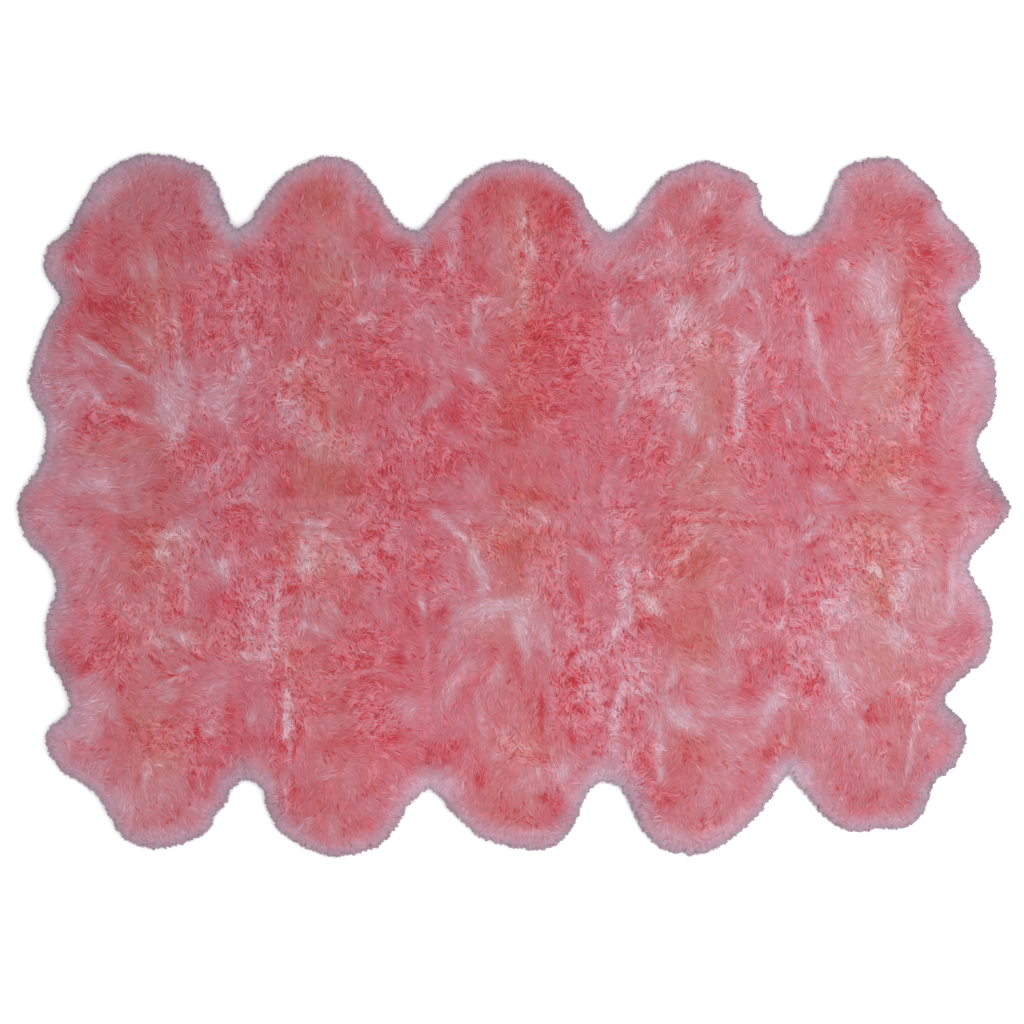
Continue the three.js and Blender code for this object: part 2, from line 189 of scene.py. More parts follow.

# Marks of the brush and of rolling, painted into the wool's colour: pale ones paint the sheen where the
# pile lies over and its tips catch the light, red ones paint the shade where it stands open or lies beside
# a
# ridge: [x, y, half its length, half its width, its bearing in degrees, how pale or red].
SHEEN_AND_SHADE_MARKS = [
    # Back row, first pelt from the left.
    (-1060, 385, 115, 13, -30, 0.9), (-985, 450, 95, 11, -38, 0.7), (-1140, 395, 40, 9, -45, 0.5),
    (-893, 455, 85, 10, -83, 0.9), (-955, 600, 70, 20, -75, 0.6), (-1015, 625, 38, 10, -60, 0.5),
    (-862, 610, 75, 12, -85, 0.3), (-1165, 625, 35, 14, -20, 0.9), (-1212, 655, 32, 14, 70, 0.4),
    (-1100, 812, 75, 35, 55, 0.4), (-1040, 852, 60, 22, 30, 0.4), (-815, 790, 70, 22, -75, 0.5),
    (-1185, 310, 70, 40, -15, 0.6), (-1105, 290, 38, 8, -50, 0.9), (-900, 330, 75, 42, -30, 0.7),
    (-870, 350, 50, 30, 45, 0.4), (-770, 660, 35, 18, -75, 0.5), (-745, 588, 16, 7, 80, 0.9),
    (-832, 490, 32, 6, -85, 0.7), (-740, 480, 45, 11, 80, 0.4), (-715, 390, 42, 13, -75, 0.7),
    (-740, 320, 60, 25, 60, 0.4), (-1070, 515, 85, 40, -35, -0.6), (-1100, 440, 60, 13, -35, -0.6),
    (-1000, 560, 55, 22, -40, -0.5), (-1012, 372, 60, 13, -30, -0.7), (-1150, 520, 50, 35, 0, -0.3),
    (-925, 560, 80, 10, -80, -0.3), (-865, 470, 90, 12, -85, -0.3), (-1185, 620, 75, 11, 85, -0.5),
    (-900, 230, 70, 32, -65, 0.7), (-1025, 248, 32, 11, -30, 0.8), (-1050, 268, 42, 9, -10, -0.7),
    (-1120, 210, 55, 38, -20, -0.5), (-1030, 212, 50, 16, -20, -0.6), (-1225, 195, 40, 22, 80, 0.6),
    (-965, 225, 18, 9, -20, 0.6), (-1030, 158, 55, 9, 25, 0.5), (-1100, 140, 60, 12, 5, -0.2),
    (-1036, 121, 10, 6, 0, -0.9), (-1130, 50, 70, 24, 8, 0.5), (-1068, -6, 34, 7, -22, 0.9),
    (-990, 60, 70, 14, 20, 0.3), (-920, 65, 60, 38, 30, -0.4), (-790, 275, 55, 45, -50, 0.6),
    (-748, 200, 35, 16, -60, 0.5), (-790, 96, 14, 10, -45, 0.9), (-745, 60, 60, 9, 38, -0.7),
    (-825, 15, 75, 10, 28, -0.4), (-850, 150, 45, 30, -50, -0.3), (-1000, 800, 90, 45, -30, -0.15),
    # Back row, second.
    (-430, 810, 60, 20, 88, 0.6), (-540, 873, 26, 10, 10, 0.5), (-510, 800, 50, 35, 85, -0.25),
    (-482, 590, 26, 14, 60, 0.6), (-516, 580, 12, 12, 0, 0.5), (-424, 602, 42, 8, -82, 0.8),
    (-360, 592, 28, 22, 30, 0.6), (-400, 495, 20, 14, 20, 0.8), (-335, 462, 30, 8, 50, 0.5),
    (-392, 420, 28, 8, 70, 0.4), (-360, 440, 12, 12, 0, -0.8), (-520, 478, 38, 5, 88, -0.7),
    (-505, 432, 22, 9, 20, 0.8), (-600, 350, 18, 12, 40, 0.9), (-570, 378, 14, 10, 70, 0.9),
    (-612, 262, 42, 16, -65, 0.7), (-580, 252, 45, 16, 88, 0.5), (-525, 198, 34, 15, -60, 0.6),
    (-482, 210, 50, 5, -82, 0.5), (-405, 298, 28, 6, 75, 0.8), (-310, 340, 60, 45, 0, -0.3),
    (-260, 665, 38, 14, 80, 0.9), (-242, 508, 22, 9, 60, 0.9), (-222, 488, 12, 10, 0, 0.7),
    (-212, 365, 48, 14, -55, 0.5), (-190, 300, 35, 26, 20, 0.5), (-231, 272, 24, 8, 55, 0.8),
    (-692, 722, 20, 14, -40, 0.5), (-415, 168, 36, 26, 80, 0.25), (-412, 118, 28, 12, -80, 0.3),
    (-680, 50, 55, 42, 60, 0.4), (-725, 150, 40, 30, 70, 0.4), (-510, 70, 70, 50, 90, -0.2),
    (-350, 45, 75, 30, 0, -0.4), (-440, 38, 35, 18, 0, -0.5), (-575, 130, 45, 18, -30, -0.4),
    (-618, 600, 170, 4, 90, -0.5), (-705, 640, 30, 7, -40, -0.6), (-590, 300, 60, 60, 0, -0.2),
    (-600, 640, 60, 60, 90, -0.15), (-200, 90, 60, 60, 0, -0.3), (-505, 245, 45, 10, 88, -0.7),
    (-250, 170, 40, 40, 40, 0.2), (-650, 470, 60, 40, 90, -0.2), (-330, 700, 50, 25, 85, 0.25),
    # Back row, third.
    (-55, 868, 45, 25, 10, -0.3), (-161, 800, 16, 12, 60, 0.7), (-172, 735, 32, 28, 80, 0.6),
    (-168, 635, 28, 8, -75, 0.9), (-144, 635, 22, 8, -70, 0.7), (-175, 592, 12, 9, 60, 0.6),
    (-104, 492, 62, 8, 84, 0.8), (-88, 545, 30, 7, 5, 0.8), (-82, 442, 16, 12, -50, 0.8),
    (-97, 338, 48, 17, -38, 0.9), (-210, 276, 36, 15, 45, 0.6), (-175, 378, 45, 16, -52, 0.5),
    (22, 770, 42, 14, -85, 0.8), (40, 678, 34, 14, -60, 0.9), (26, 560, 75, 14, 85, 0.7),
    (12, 440, 30, 7, -80, 0.5), (24, 662, 10, 8, 0, -0.8), (-22, 600, 90, 12, 88, 0.15),
    (80, 640, 85, 5, 88, -0.6), (95, 755, 38, 5, 88, -0.5), (85, 820, 10, 7, 0, -0.7),
    (125, 420, 95, 65, 90, -0.4), (208, 640, 18, 11, 80, 0.6), (205, 480, 48, 4, 88, 0.5),
    (-40, 190, 38, 14, -10, 0.6), (-150, 210, 40, 20, -45, -0.4), (-100, 70, 50, 40, 50, 0.4),
    (40, 28, 70, 22, -8, -0.5), (0, 250, 45, 35, 0, -0.5), (-170, 130, 50, 50, 0, -0.4),
    (120, 250, 60, 14, 12, -0.4), (135, 122, 12, 12, 0, 0.5), (100, 110, 60, 40, 0, -0.15),
    (60, 600, 40, 60, 0, -0.2), (-60, 640, 60, 30, -80, -0.2),
    # Back row, fourth.
    (265, 495, 62, 9, 88, 0.7), (300, 500, 26, 8, 50, 0.7), (340, 660, 30, 10, 30, 0.4),
    (258, 640, 22, 14, 60, -0.5), (335, 606, 20, 8, 55, 0.8), (460, 830, 50, 30, 10, -0.5),
    (510, 820, 38, 22, 60, 0.5), (630, 780, 34, 28, 60, 0.5), (522, 745, 26, 20, 0, -0.5),
    (410, 720, 26, 9, -60, 0.9), (405, 670, 42, 7, 85, 0.5), (446, 680, 42, 7, 88, 0.5),
    (600, 618, 55, 9, 88, 0.8), (566, 570, 46, 20, 40, 0.8), (640, 555, 62, 9, -70, 0.9),
    (447, 515, 72, 28, 68, 1.2), (381, 540, 16, 12, 0, 0.6), (565, 466, 52, 11, -18, 0.7),
    (624, 420, 26, 12, -40, 0.6), (490, 425, 36, 22, 0, 0.6), (368, 330, 85, 38, 58, 0.45),
    (412, 292, 32, 24, 60, 0.9), (600, 335, 92, 14, 88, 1.1), (705, 340, 26, 12, 60, 0.5),
    (715, 372, 60, 25, 0, -0.5), (465, 216, 36, 16, -62, 1.2), (350, 262, 30, 24, 0, -0.5),
    (282, 262, 42, 10, 78, 0.9), (600, 235, 45, 16, 84, 1.0), (590, 172, 16, 8, 60, 0.6),
    (520, 155, 42, 9, 70, 0.6), (655, 215, 45, 32, 0, -0.5), (727, 215, 30, 5, -80, 0.9),
    (762, 240, 60, 4, -82, 0.6), (370, 166, 28, 8, 60, 0.7), (441, 160, 26, 3, 88, 0.7),
    (430, 128, 20, 10, 50, 0.4), (350, 135, 80, 45, 0, -0.5), (281, 112, 22, 5, 55, 0.9),
    (252, 62, 50, 20, 65, 0.4), (485, 88, 42, 12, 38, 0.5), (515, 32, 22, 4, 8, 0.9),
    (592, 32, 20, 11, -55, 0.7), (540, 60, 30, 20, 0, -0.15), (560, 260, 50, 22, 88, -0.3),
    (700, 250, 30, 20, 0, -0.4), (660, 100, 60, 50, -45, 0.1), (330, 800, 60, 25, 60, 0.3),
    (700, 500, 60, 20, 80, -0.3), (760, 300, 50, 50, 0, -0.25), (500, 330, 40, 50, 90, -0.1),
    # Back row, fifth.
    (795, 445, 115, 16, -78, 1.1), (830, 310, 34, 4, -58, 0.8), (762, 664, 18, 12, 0, 0.8),
    (712, 635, 22, 5, 40, -1.0), (722, 618, 14, 7, 30, 0.8), (808, 492, 14, 4, -45, -0.9),
    (925, 880, 32, 16, 10, 0.6), (980, 850, 28, 20, 0, -0.4), (1050, 862, 30, 20, -30, 0.5),
    (1128, 762, 34, 24, -50, 1.0), (1150, 715, 28, 18, -70, 0.6), (1085, 665, 42, 26, 0, -0.5),
    (960, 590, 58, 34, -50, 1.1), (980, 525, 32, 18, -40, 0.9), (1000, 450, 60, 16, 80, 0.9),
    (1005, 362, 34, 16, 85, 0.6), (1040, 570, 90, 9, 82, -0.5), (1055, 370, 100, 16, 88, -0.5),
    (870, 640, 18, 12, 60, 0.9), (890, 618, 14, 12, 0, 0.7), (1235, 360, 70, 30, 85, 0.6),
    (1155, 560, 34, 9, -10, 0.7), (830, 480, 18, 30, 0, -0.5), (830, 402, 14, 6, 60, 0.6),
    (940, 310, 70, 55, 90, 0.3), (922, 360, 26, 5, 30, 0.6), (1062, 240, 58, 15, 82, 0.8),
    (1088, 260, 45, 10, 88, -0.6), (1097, 255, 42, 3, 88, 0.6), (1150, 240, 52, 10, 68, 0.5),
    (1192, 262, 48, 9, 66, 0.5), (798, 206, 16, 6, 30, -0.8), (838, 190, 16, 9, 0, -0.6),
    (832, 138, 16, 6, -60, 0.9), (852, 108, 18, 10, 0, 0.7), (960, 100, 60, 42, 0, -0.4),
    (1092, 62, 18, 12, 0, -1.0), (1085, 130, 36, 7, -38, -0.7), (1130, 42, 22, 10, 0, -0.7),
    (1020, 50, 42, 20, -30, 0.5), (820, 32, 36, 24, -40, 0.6), (896, 22, 9, 6, 0, -0.8),
    (960, 25, 42, 7, -20, 0.4), (1230, 60, 60, 28, -20, 0.2), (900, 700, 60, 40, 0, -0.2),
    (1210, 150, 60, 30, 80, 0.35), (1190, 620, 60, 25, -60, 0.4), (870, 760, 60, 30, 80, 0.2),
    # Painted shade in the crease along the middle seam.
    (45, 17, 80, 3, 0, -0.7), (540, -15, 110, 3, -8, -0.8), (845, 2, 45, 3, 5, -0.6),
    (1150, -8, 150, 3, -10, -0.4), (-735, -10, 45, 3, 0, -0.5), (300, -6, 60, 3, 4, -0.5),
    (-200, 6, 60, 3, 0, -0.4), (-1150, -10, 90, 3, -4, -0.4),
    # Front row, first.
    (-882, -66, 26, 24, 40, 1.0), (-925, -82, 22, 14, 0, 0.8), (-946, -126, 18, 22, 0, 0.9),
    (-920, -136, 14, 16, 0, 0.7), (-782, -160, 26, 22, 0, 0.8), (-762, -192, 20, 7, -60, 0.5),
    (-985, -105, 38, 16, -20, -0.7), (-985, -150, 40, 22, 0, -0.4), (-892, -282, 12, 6, 0, -0.8),
    (-1090, -170, 55, 9, 62, 0.5), (-1148, -200, 48, 12, 62, 0.4), (-872, -225, 56, 8, -84, 0.5),
    (-1000, -230, 60, 60, 60, -0.1), (-890, -352, 56, 15, -28, 0.7), (-940, -365, 30, 11, -42, 0.9),
    (-1050, -330, 70, 45, -50, -0.4), (-950, -420, 24, 7, -42, -0.8), (-840, -402, 24, 4, -25, -0.9),
    (-883, -437, 18, 5, 28, 1.1), (-905, -452, 20, 4, 20, -0.9), (-925, -475, 48, 8, 26, 0.6),
    (-915, -506, 24, 17, 0, 0.6), (-840, -430, 42, 20, 10, 0.4), (-800, -500, 36, 42, 60, 0.3),
    (-860, -545, 20, 7, -10, 0.6), (-918, -582, 22, 9, -15, -1.0), (-842, -600, 30, 6, 88, -0.8),
    (-815, -630, 34, 14, 30, -0.6), (-1125, -560, 62, 48, 75, 0.7), (-1072, -545, 60, 26, -60, 0.5),
    (-1030, -560, 45, 12, -50, -0.4), (-1044, -480, 18, 9, 70, -0.8), (-1145, -470, 34, 14, 20, 0.5),
    (-1135, -435, 26, 16, 60, -0.6), (-1110, -605, 42, 17, 30, 0.5), (-1160, -640, 32, 20, 60, -0.3),
    (-976, -722, 20, 8, 62, 1.1), (-995, -730, 12, 7, 60, -0.8), (-945, -690, 36, 6, 10, 0.6),
    (-850, -732, 26, 7, 80, -0.7), (-1048, -785, 45, 17, -48, 0.6), (-850, -805, 28, 18, 0, 0.5),
    (-940, -878, 62, 16, 0, 0.6), (-1010, -870, 14, 10, 40, -0.5), (-960, -620, 60, 40, 0, -0.3),
    (-1200, -60, 70, 30, -20, 0.3), (-870, -640, 60, 40, 60, -0.4), (-1060, -700, 60, 40, 60, -0.3),
    # Front row, second.
    (-542, -48, 45, 10, -10, 0.9), (-520, -78, 56, 12, -12, 0.9), (-552, -122, 34, 20, 80, 0.9),
    (-560, -168, 28, 22, 0, 0.8), (-500, -150, 34, 34, 0, 0.3), (-436, -150, 32, 12, -62, 1.0),
    (-418, -172, 20, 12, -10, 0.8), (-598, -70, 34, 16, 60, -0.5), (-585, -225, 32, 18, 0, -0.6),
    (-372, -76, 22, 10, 0, -0.9), (-345, -140, 40, 20, -35, -0.7), (-380, -90, 40, 8, -10, -0.4),
    (-640, -150, 50, 14, 0, -0.5), (-627, -250, 95, 8, 88, 0.8), (-680, -250, 36, 14, 40, 0.6),
    (-692, -310, 30, 15, 60, 0.7), (-642, -345, 62, 16, 85, 0.7), (-700, -360, 26, 17, 0, 0.5),
    (-690, -402, 52, 15, -5, 0.9), (-736, -372, 30, 28, 0, -0.2), (-720, -10, 50, 9, 0, -0.5),
    (-300, -200, 60, 50, 0, -0.15), (-245, -265, 28, 5, -76, 1.1), (-476, -276, 26, 8, -48, 0.9),
    (-560, -322, 14, 8, 20, 1.0), (-512, -334, 30, 10, -20, 0.9), (-440, -270, 45, 22, 0, -0.5),
    (-606, -395, 32, 6, 88, 0.6), (-603, -490, 34, 20, 88, 0.7), (-605, -545, 55, 10, 88, 1.2),
    (-600, -592, 24, 14, 80, 1.0), (-612, -612, 16, 10, 40, 0.7), (-595, -660, 45, 5, 88, 0.5),
    (-610, -735, 28, 9, 85, 0.8), (-582, -656, 22, 5, 85, -1.1), (-580, -400, 22, 18, 0, -0.7),
    (-572, -615, 24, 12, 80, -0.6), (-390, -441, 45, 4, 4, 0.6), (-402, -394, 34, 4, -8, 0.5),
    (-450, -420, 75, 28, 10, -0.5), (-480, -520, 60, 38, 30, -0.5), (-470, -640, 62, 36, 25, -0.6),
    (-325, -622, 20, 16, 0, -0.7), (-292, -515, 42, 24, -60, 0.6), (-315, -460, 45, 13, -18, 0.5),
    (-228, -375, 30, 7, 85, 0.7), (-292, -412, 24, 10, -30, -0.7), (-378, -750, 42, 17, 45, -0.4),
    (-500, -722, 32, 7, 5, 0.5), (-560, -852, 48, 13, 35, 0.6), (-482, -852, 17, 32, 0, 0.4),
    (-705, -620, 58, 45, 0, -0.3), (-695, -558, 30, 12, 62, 0.4), (-228, -668, 30, 5, 88, -0.8),
    (-640, -745, 24, 24, 0, 0.4), (-400, -560, 70, 16, 20, -0.2), (-400, -850, 50, 25, 0, -0.3),
    (-350, -330, 60, 25, 0, 0.1), (-500, -390, 60, 22, 0, -0.3), (-735, -220, 30, 40, 60, 0.2),
    # Front row, third.
    (-195, -35, 42, 13, -32, 0.9), (-142, -82, 32, 8, -40, 0.9), (-107, -125, 32, 12, -85, 1.1),
    (-88, -182, 34, 18, -70, 1.1), (-85, -232, 24, 15, 80, 0.7), (-30, -40, 62, 22, 0, 0.4),
    (-120, -30, 45, 16, 0, 0.4), (100, -42, 42, 17, 0, 0.4), (66, -50, 24, 6, 42, 0.6),
    (0, -112, 55, 22, 0, -0.6), (0, -185, 62, 26, 88, -0.4), (134, -205, 85, 4, 88, 0.7),
    (112, -172, 17, 9, 0, 0.5), (186, -130, 28, 7, -35, 1.0), (212, -152, 18, 14, -40, 0.8),
    (262, -82, 28, 5, -80, -0.7), (287, -205, 55, 17, -85, 0.9), (298, -290, 40, 18, 80, 1.0),
    (270, -345, 34, 14, 70, 0.8), (-40, -268, 68, 22, 10, 1.0), (22, -345, 62, 22, -75, 1.1),
    (82, -360, 45, 17, -80, 0.8), (30, -420, 55, 13, -85, 0.6), (-60, -330, 36, 22, 0, -0.1),
    (166, -230, 42, 14, -70, -0.6), (150, -325, 38, 22, -40, 0.7), (-190, -285, 28, 20, 40, -0.6),
    (-155, -470, 70, 24, 56, 0.9), (-50, -450, 45, 17, 72, 0.5), (-84, -585, 62, 13, -80, 0.6),
    (-52, -590, 18, 4, -50, 0.7), (70, -545, 68, 6, 88, -0.7), (100, -530, 68, 11, 88, 0.3),
    (84, -600, 28, 5, 80, 0.6), (168, -360, 36, 8, -60, 0.6), (160, -392, 24, 11, 70, -0.9),
    (185, -405, 24, 17, 0, 0.5), (148, -470, 34, 26, 0, -0.6), (172, -500, 42, 4, 85, 0.7),
    (172, -545, 28, 17, 0, -0.7), (206, -480, 22, 6, 5, 1.1), (216, -505, 20, 11, 0, 0.6),
    (268, -565, 62, 14, 82, 1.2), (284, -500, 34, 13, 80, 0.9), (268, -645, 24, 7, 88, 0.6),
    (155, -622, 28, 13, -75, -0.9), (-25, -602, 17, 12, 60, 0.5), (40, -645, 50, 9, 0, 0.4),
    (-45, -670, 16, 6, -15, 0.9), (100, -655, 14, 5, 75, 0.9), (16, -734, 17, 4, 10, 0.9),
    (65, -702, 14, 5, 75, 0.7), (125, -708, 24, 14, 58, 0.9), (150, -770, 34, 13, -60, 0.7),
    (-90, -728, 24, 13, 80, -0.7), (80, -778, 28, 14, 0, -0.6), (-178, -703, 17, 5, 0, 0.6),
    (-165, -735, 22, 10, 60, 0.5), (0, -805, 62, 45, 0, -0.4), (120, -805, 40, 40, 0, -0.4),
    (30, -878, 68, 16, 0, 0.6), (-180, -650, 62, 36, 0, -0.4), (10, -480, 45, 50, 88, -0.2),
    (200, -300, 45, 50, 0, 0.15), (90, -250, 40, 30, 0, -0.3), (-230, -180, 45, 45, 0, -0.25),
    (-170, -380, 50, 20, 60, 0.3), (220, -620, 50, 25, -80, -0.2),
    # Front row, fourth.
    (485, -60, 36, 13, 0, 0.6), (470, -112, 58, 5, 46, 1.2), (430, -148, 22, 5, 20, 0.9),
    (480, -165, 60, 34, 45, -0.5), (465, -180, 42, 3, 42, 0.7), (382, -105, 52, 45, 0, -0.5),
    (430, -42, 26, 13, 0, -0.6), (330, -80, 16, 10, -60, 0.6), (345, -50, 28, 16, 0, -0.4),
    (360, -182, 28, 4, 88, 0.9), (322, -180, 17, 7, -30, 0.7), (360, -262, 52, 16, -45, 1.0),
    (345, -232, 45, 13, -60, 0.5), (328, -225, 24, 14, 0, -0.4), (345, -308, 34, 16, 20, -0.8),
    (470, -285, 68, 55, 0, -0.4), (538, -280, 34, 8, -72, 0.8), (556, -226, 16, 7, -60, 0.7),
    (625, -305, 45, 11, 85, 0.3), (645, -160, 90, 55, 10, 0.15), (725, -222, 24, 8, -82, 1.1),
    (708, -318, 28, 8, 60, 1.0), (545, -45, 95, 9, -4, -0.45), (590, -54, 36, 8, 0, -0.4),
    (450, -565, 48, 27, -30, 1.1), (475, -592, 32, 14, -20, 0.6), (560, -550, 100, 11, 0, 0.6),
    (386, -640, 62, 11, 88, 1.2), (390, -712, 20, 8, 75, 1.1), (412, -470, 42, 14, 58, 0.7),
    (405, -525, 24, 10, -80, 0.6), (500, -436, 36, 6, -18, 0.8), (600, -450, 42, 14, 40, 0.5),
    (475, -365, 50, 32, 0, -0.5), (620, -470, 45, 36, 60, -0.5), (688, -522, 46, 22, 58, 1.1),
    (655, -585, 28, 11, 40, 0.6), (730, -580, 62, 3, -80, 0.4), (428, -628, 16, 4, -28, 0.8),
    (455, -668, 9, 7, 0, -1.1), (495, -680, 12, 10, 0, -0.7), (716, -628, 12, 7, -30, 0.9),
    (702, -632, 8, 5, 0, -1.0), (400, -775, 55, 30, 0, -0.5), (670, -660, 26, 17, 0, -0.6),
    (580, -650, 62, 20, -52, 0.5), (692, -725, 28, 9, -62, 0.6), (430, -878, 45, 15, -20, 0.7),
    (545, -868, 50, 15, 20, 0.6), (605, -818, 42, 15, 45, 0.5), (390, -400, 45, 30, 0, 0.2),
    (320, -430, 45, 34, -20, 0.35), (335, -485, 45, 17, -20, 0.6), (460, -640, 45, 26, -30, -0.4),
    (350, -690, 45, 30, 0, -0.3), (520, -620, 34, 22, 0, -0.2), (590, -370, 55, 36, -60, 0.15),
    (560, -750, 70, 50, 60, -0.15), (690, -400, 36, 40, 0, -0.35), (690, -310, 45, 20, 60, 0.2),
    # Front row, fifth.
    (785, -42, 24, 10, 35, 0.9), (842, -32, 24, 10, 0, 0.5), (775, -84, 22, 5, 40, 0.8),
    (806, -62, 28, 6, 40, 0.7), (812, -90, 17, 5, 35, -0.9), (790, -112, 22, 5, 15, -0.9),
    (800, -150, 62, 36, 0, -0.4), (865, -262, 66, 42, -42, 1.2), (808, -250, 42, 26, -35, 0.7),
    (806, -236, 34, 4, 8, -0.9), (780, -320, 45, 20, 30, -0.4), (945, -115, 52, 42, 0, -0.7),
    (1000, -150, 28, 45, 0, -0.6), (960, -172, 20, 14, -40, 0.9), (1045, -60, 17, 11, 0, 0.8),
    (1068, -85, 42, 15, -32, 0.8), (1075, -125, 42, 22, 10, 0.6), (1048, -192, 52, 24, 38, 0.8),
    (1022, -250, 26, 15, 70, 0.9), (970, -246, 16, 6, -10, -1.0), (988, -260, 9, 10, 0, -0.8),
    (978, -285, 28, 15, 0, -0.6), (1005, -352, 42, 38, -20, 0.9), (1163, -215, 85, 10, 88, 1.1),
    (1142, -215, 75, 6, 88, -0.4), (1130, -242, 14, 14, 0, 0.6), (1132, -322, 24, 9, 20, 0.7),
    (1222, -325, 36, 40, 0, -0.4), (1230, -50, 45, 20, 20, 0.5), (1105, -362, 22, 7, -15, 0.7),
    (1115, -405, 34, 9, 0, 0.5), (855, -452, 70, 18, -62, 0.9), (760, -432, 34, 5, -35, 0.8),
    (912, -438, 17, 9, -60, 0.7), (934, -536, 10, 7, 30, 1.0), (946, -506, 9, 6, 0, 0.8),
    (1046, -482, 28, 16, -20, 0.7), (1032, -520, 24, 11, 20, -0.5), (1076, -526, 10, 7, 0, 0.9),
    (1070, -580, 36, 10, 65, 0.9), (1050, -670, 70, 7, 80, 1.2), (1090, -762, 24, 6, -62, 0.8),
    (1120, -572, 42, 9, -10, 0.6), (990, -636, 16, 4, -25, -1.0), (920, -765, 80, 42, 0, -0.4),
    (915, -640, 50, 22, -50, 0.3), (790, -480, 34, 20, 30, -0.6), (772, -565, 30, 22, 40, -0.4),
    (950, -565, 45, 20, 0, -0.5), (905, -560, 42, 13, -52, 0.5), (1000, -832, 60, 14, 0, 0.4),
    (1050, -785, 36, 20, -60, -0.4), (1010, -690, 55, 22, -75, -0.3), (1160, -620, 45, 30, -60, 0.2),
    (930, -380, 55, 40, 0, 0.15), (960, -30, 50, 14, 0, -0.3), (760, -660, 36, 30, 0, 0.15),
    (860, -600, 45, 40, 0, -0.15), (1200, -200, 50, 28, 85, 0.5), (985, -420, 45, 34, 0, 0.1),
]

MARK_STRENGTH = 0.85     # the share of a mark's paleness or redness that shows
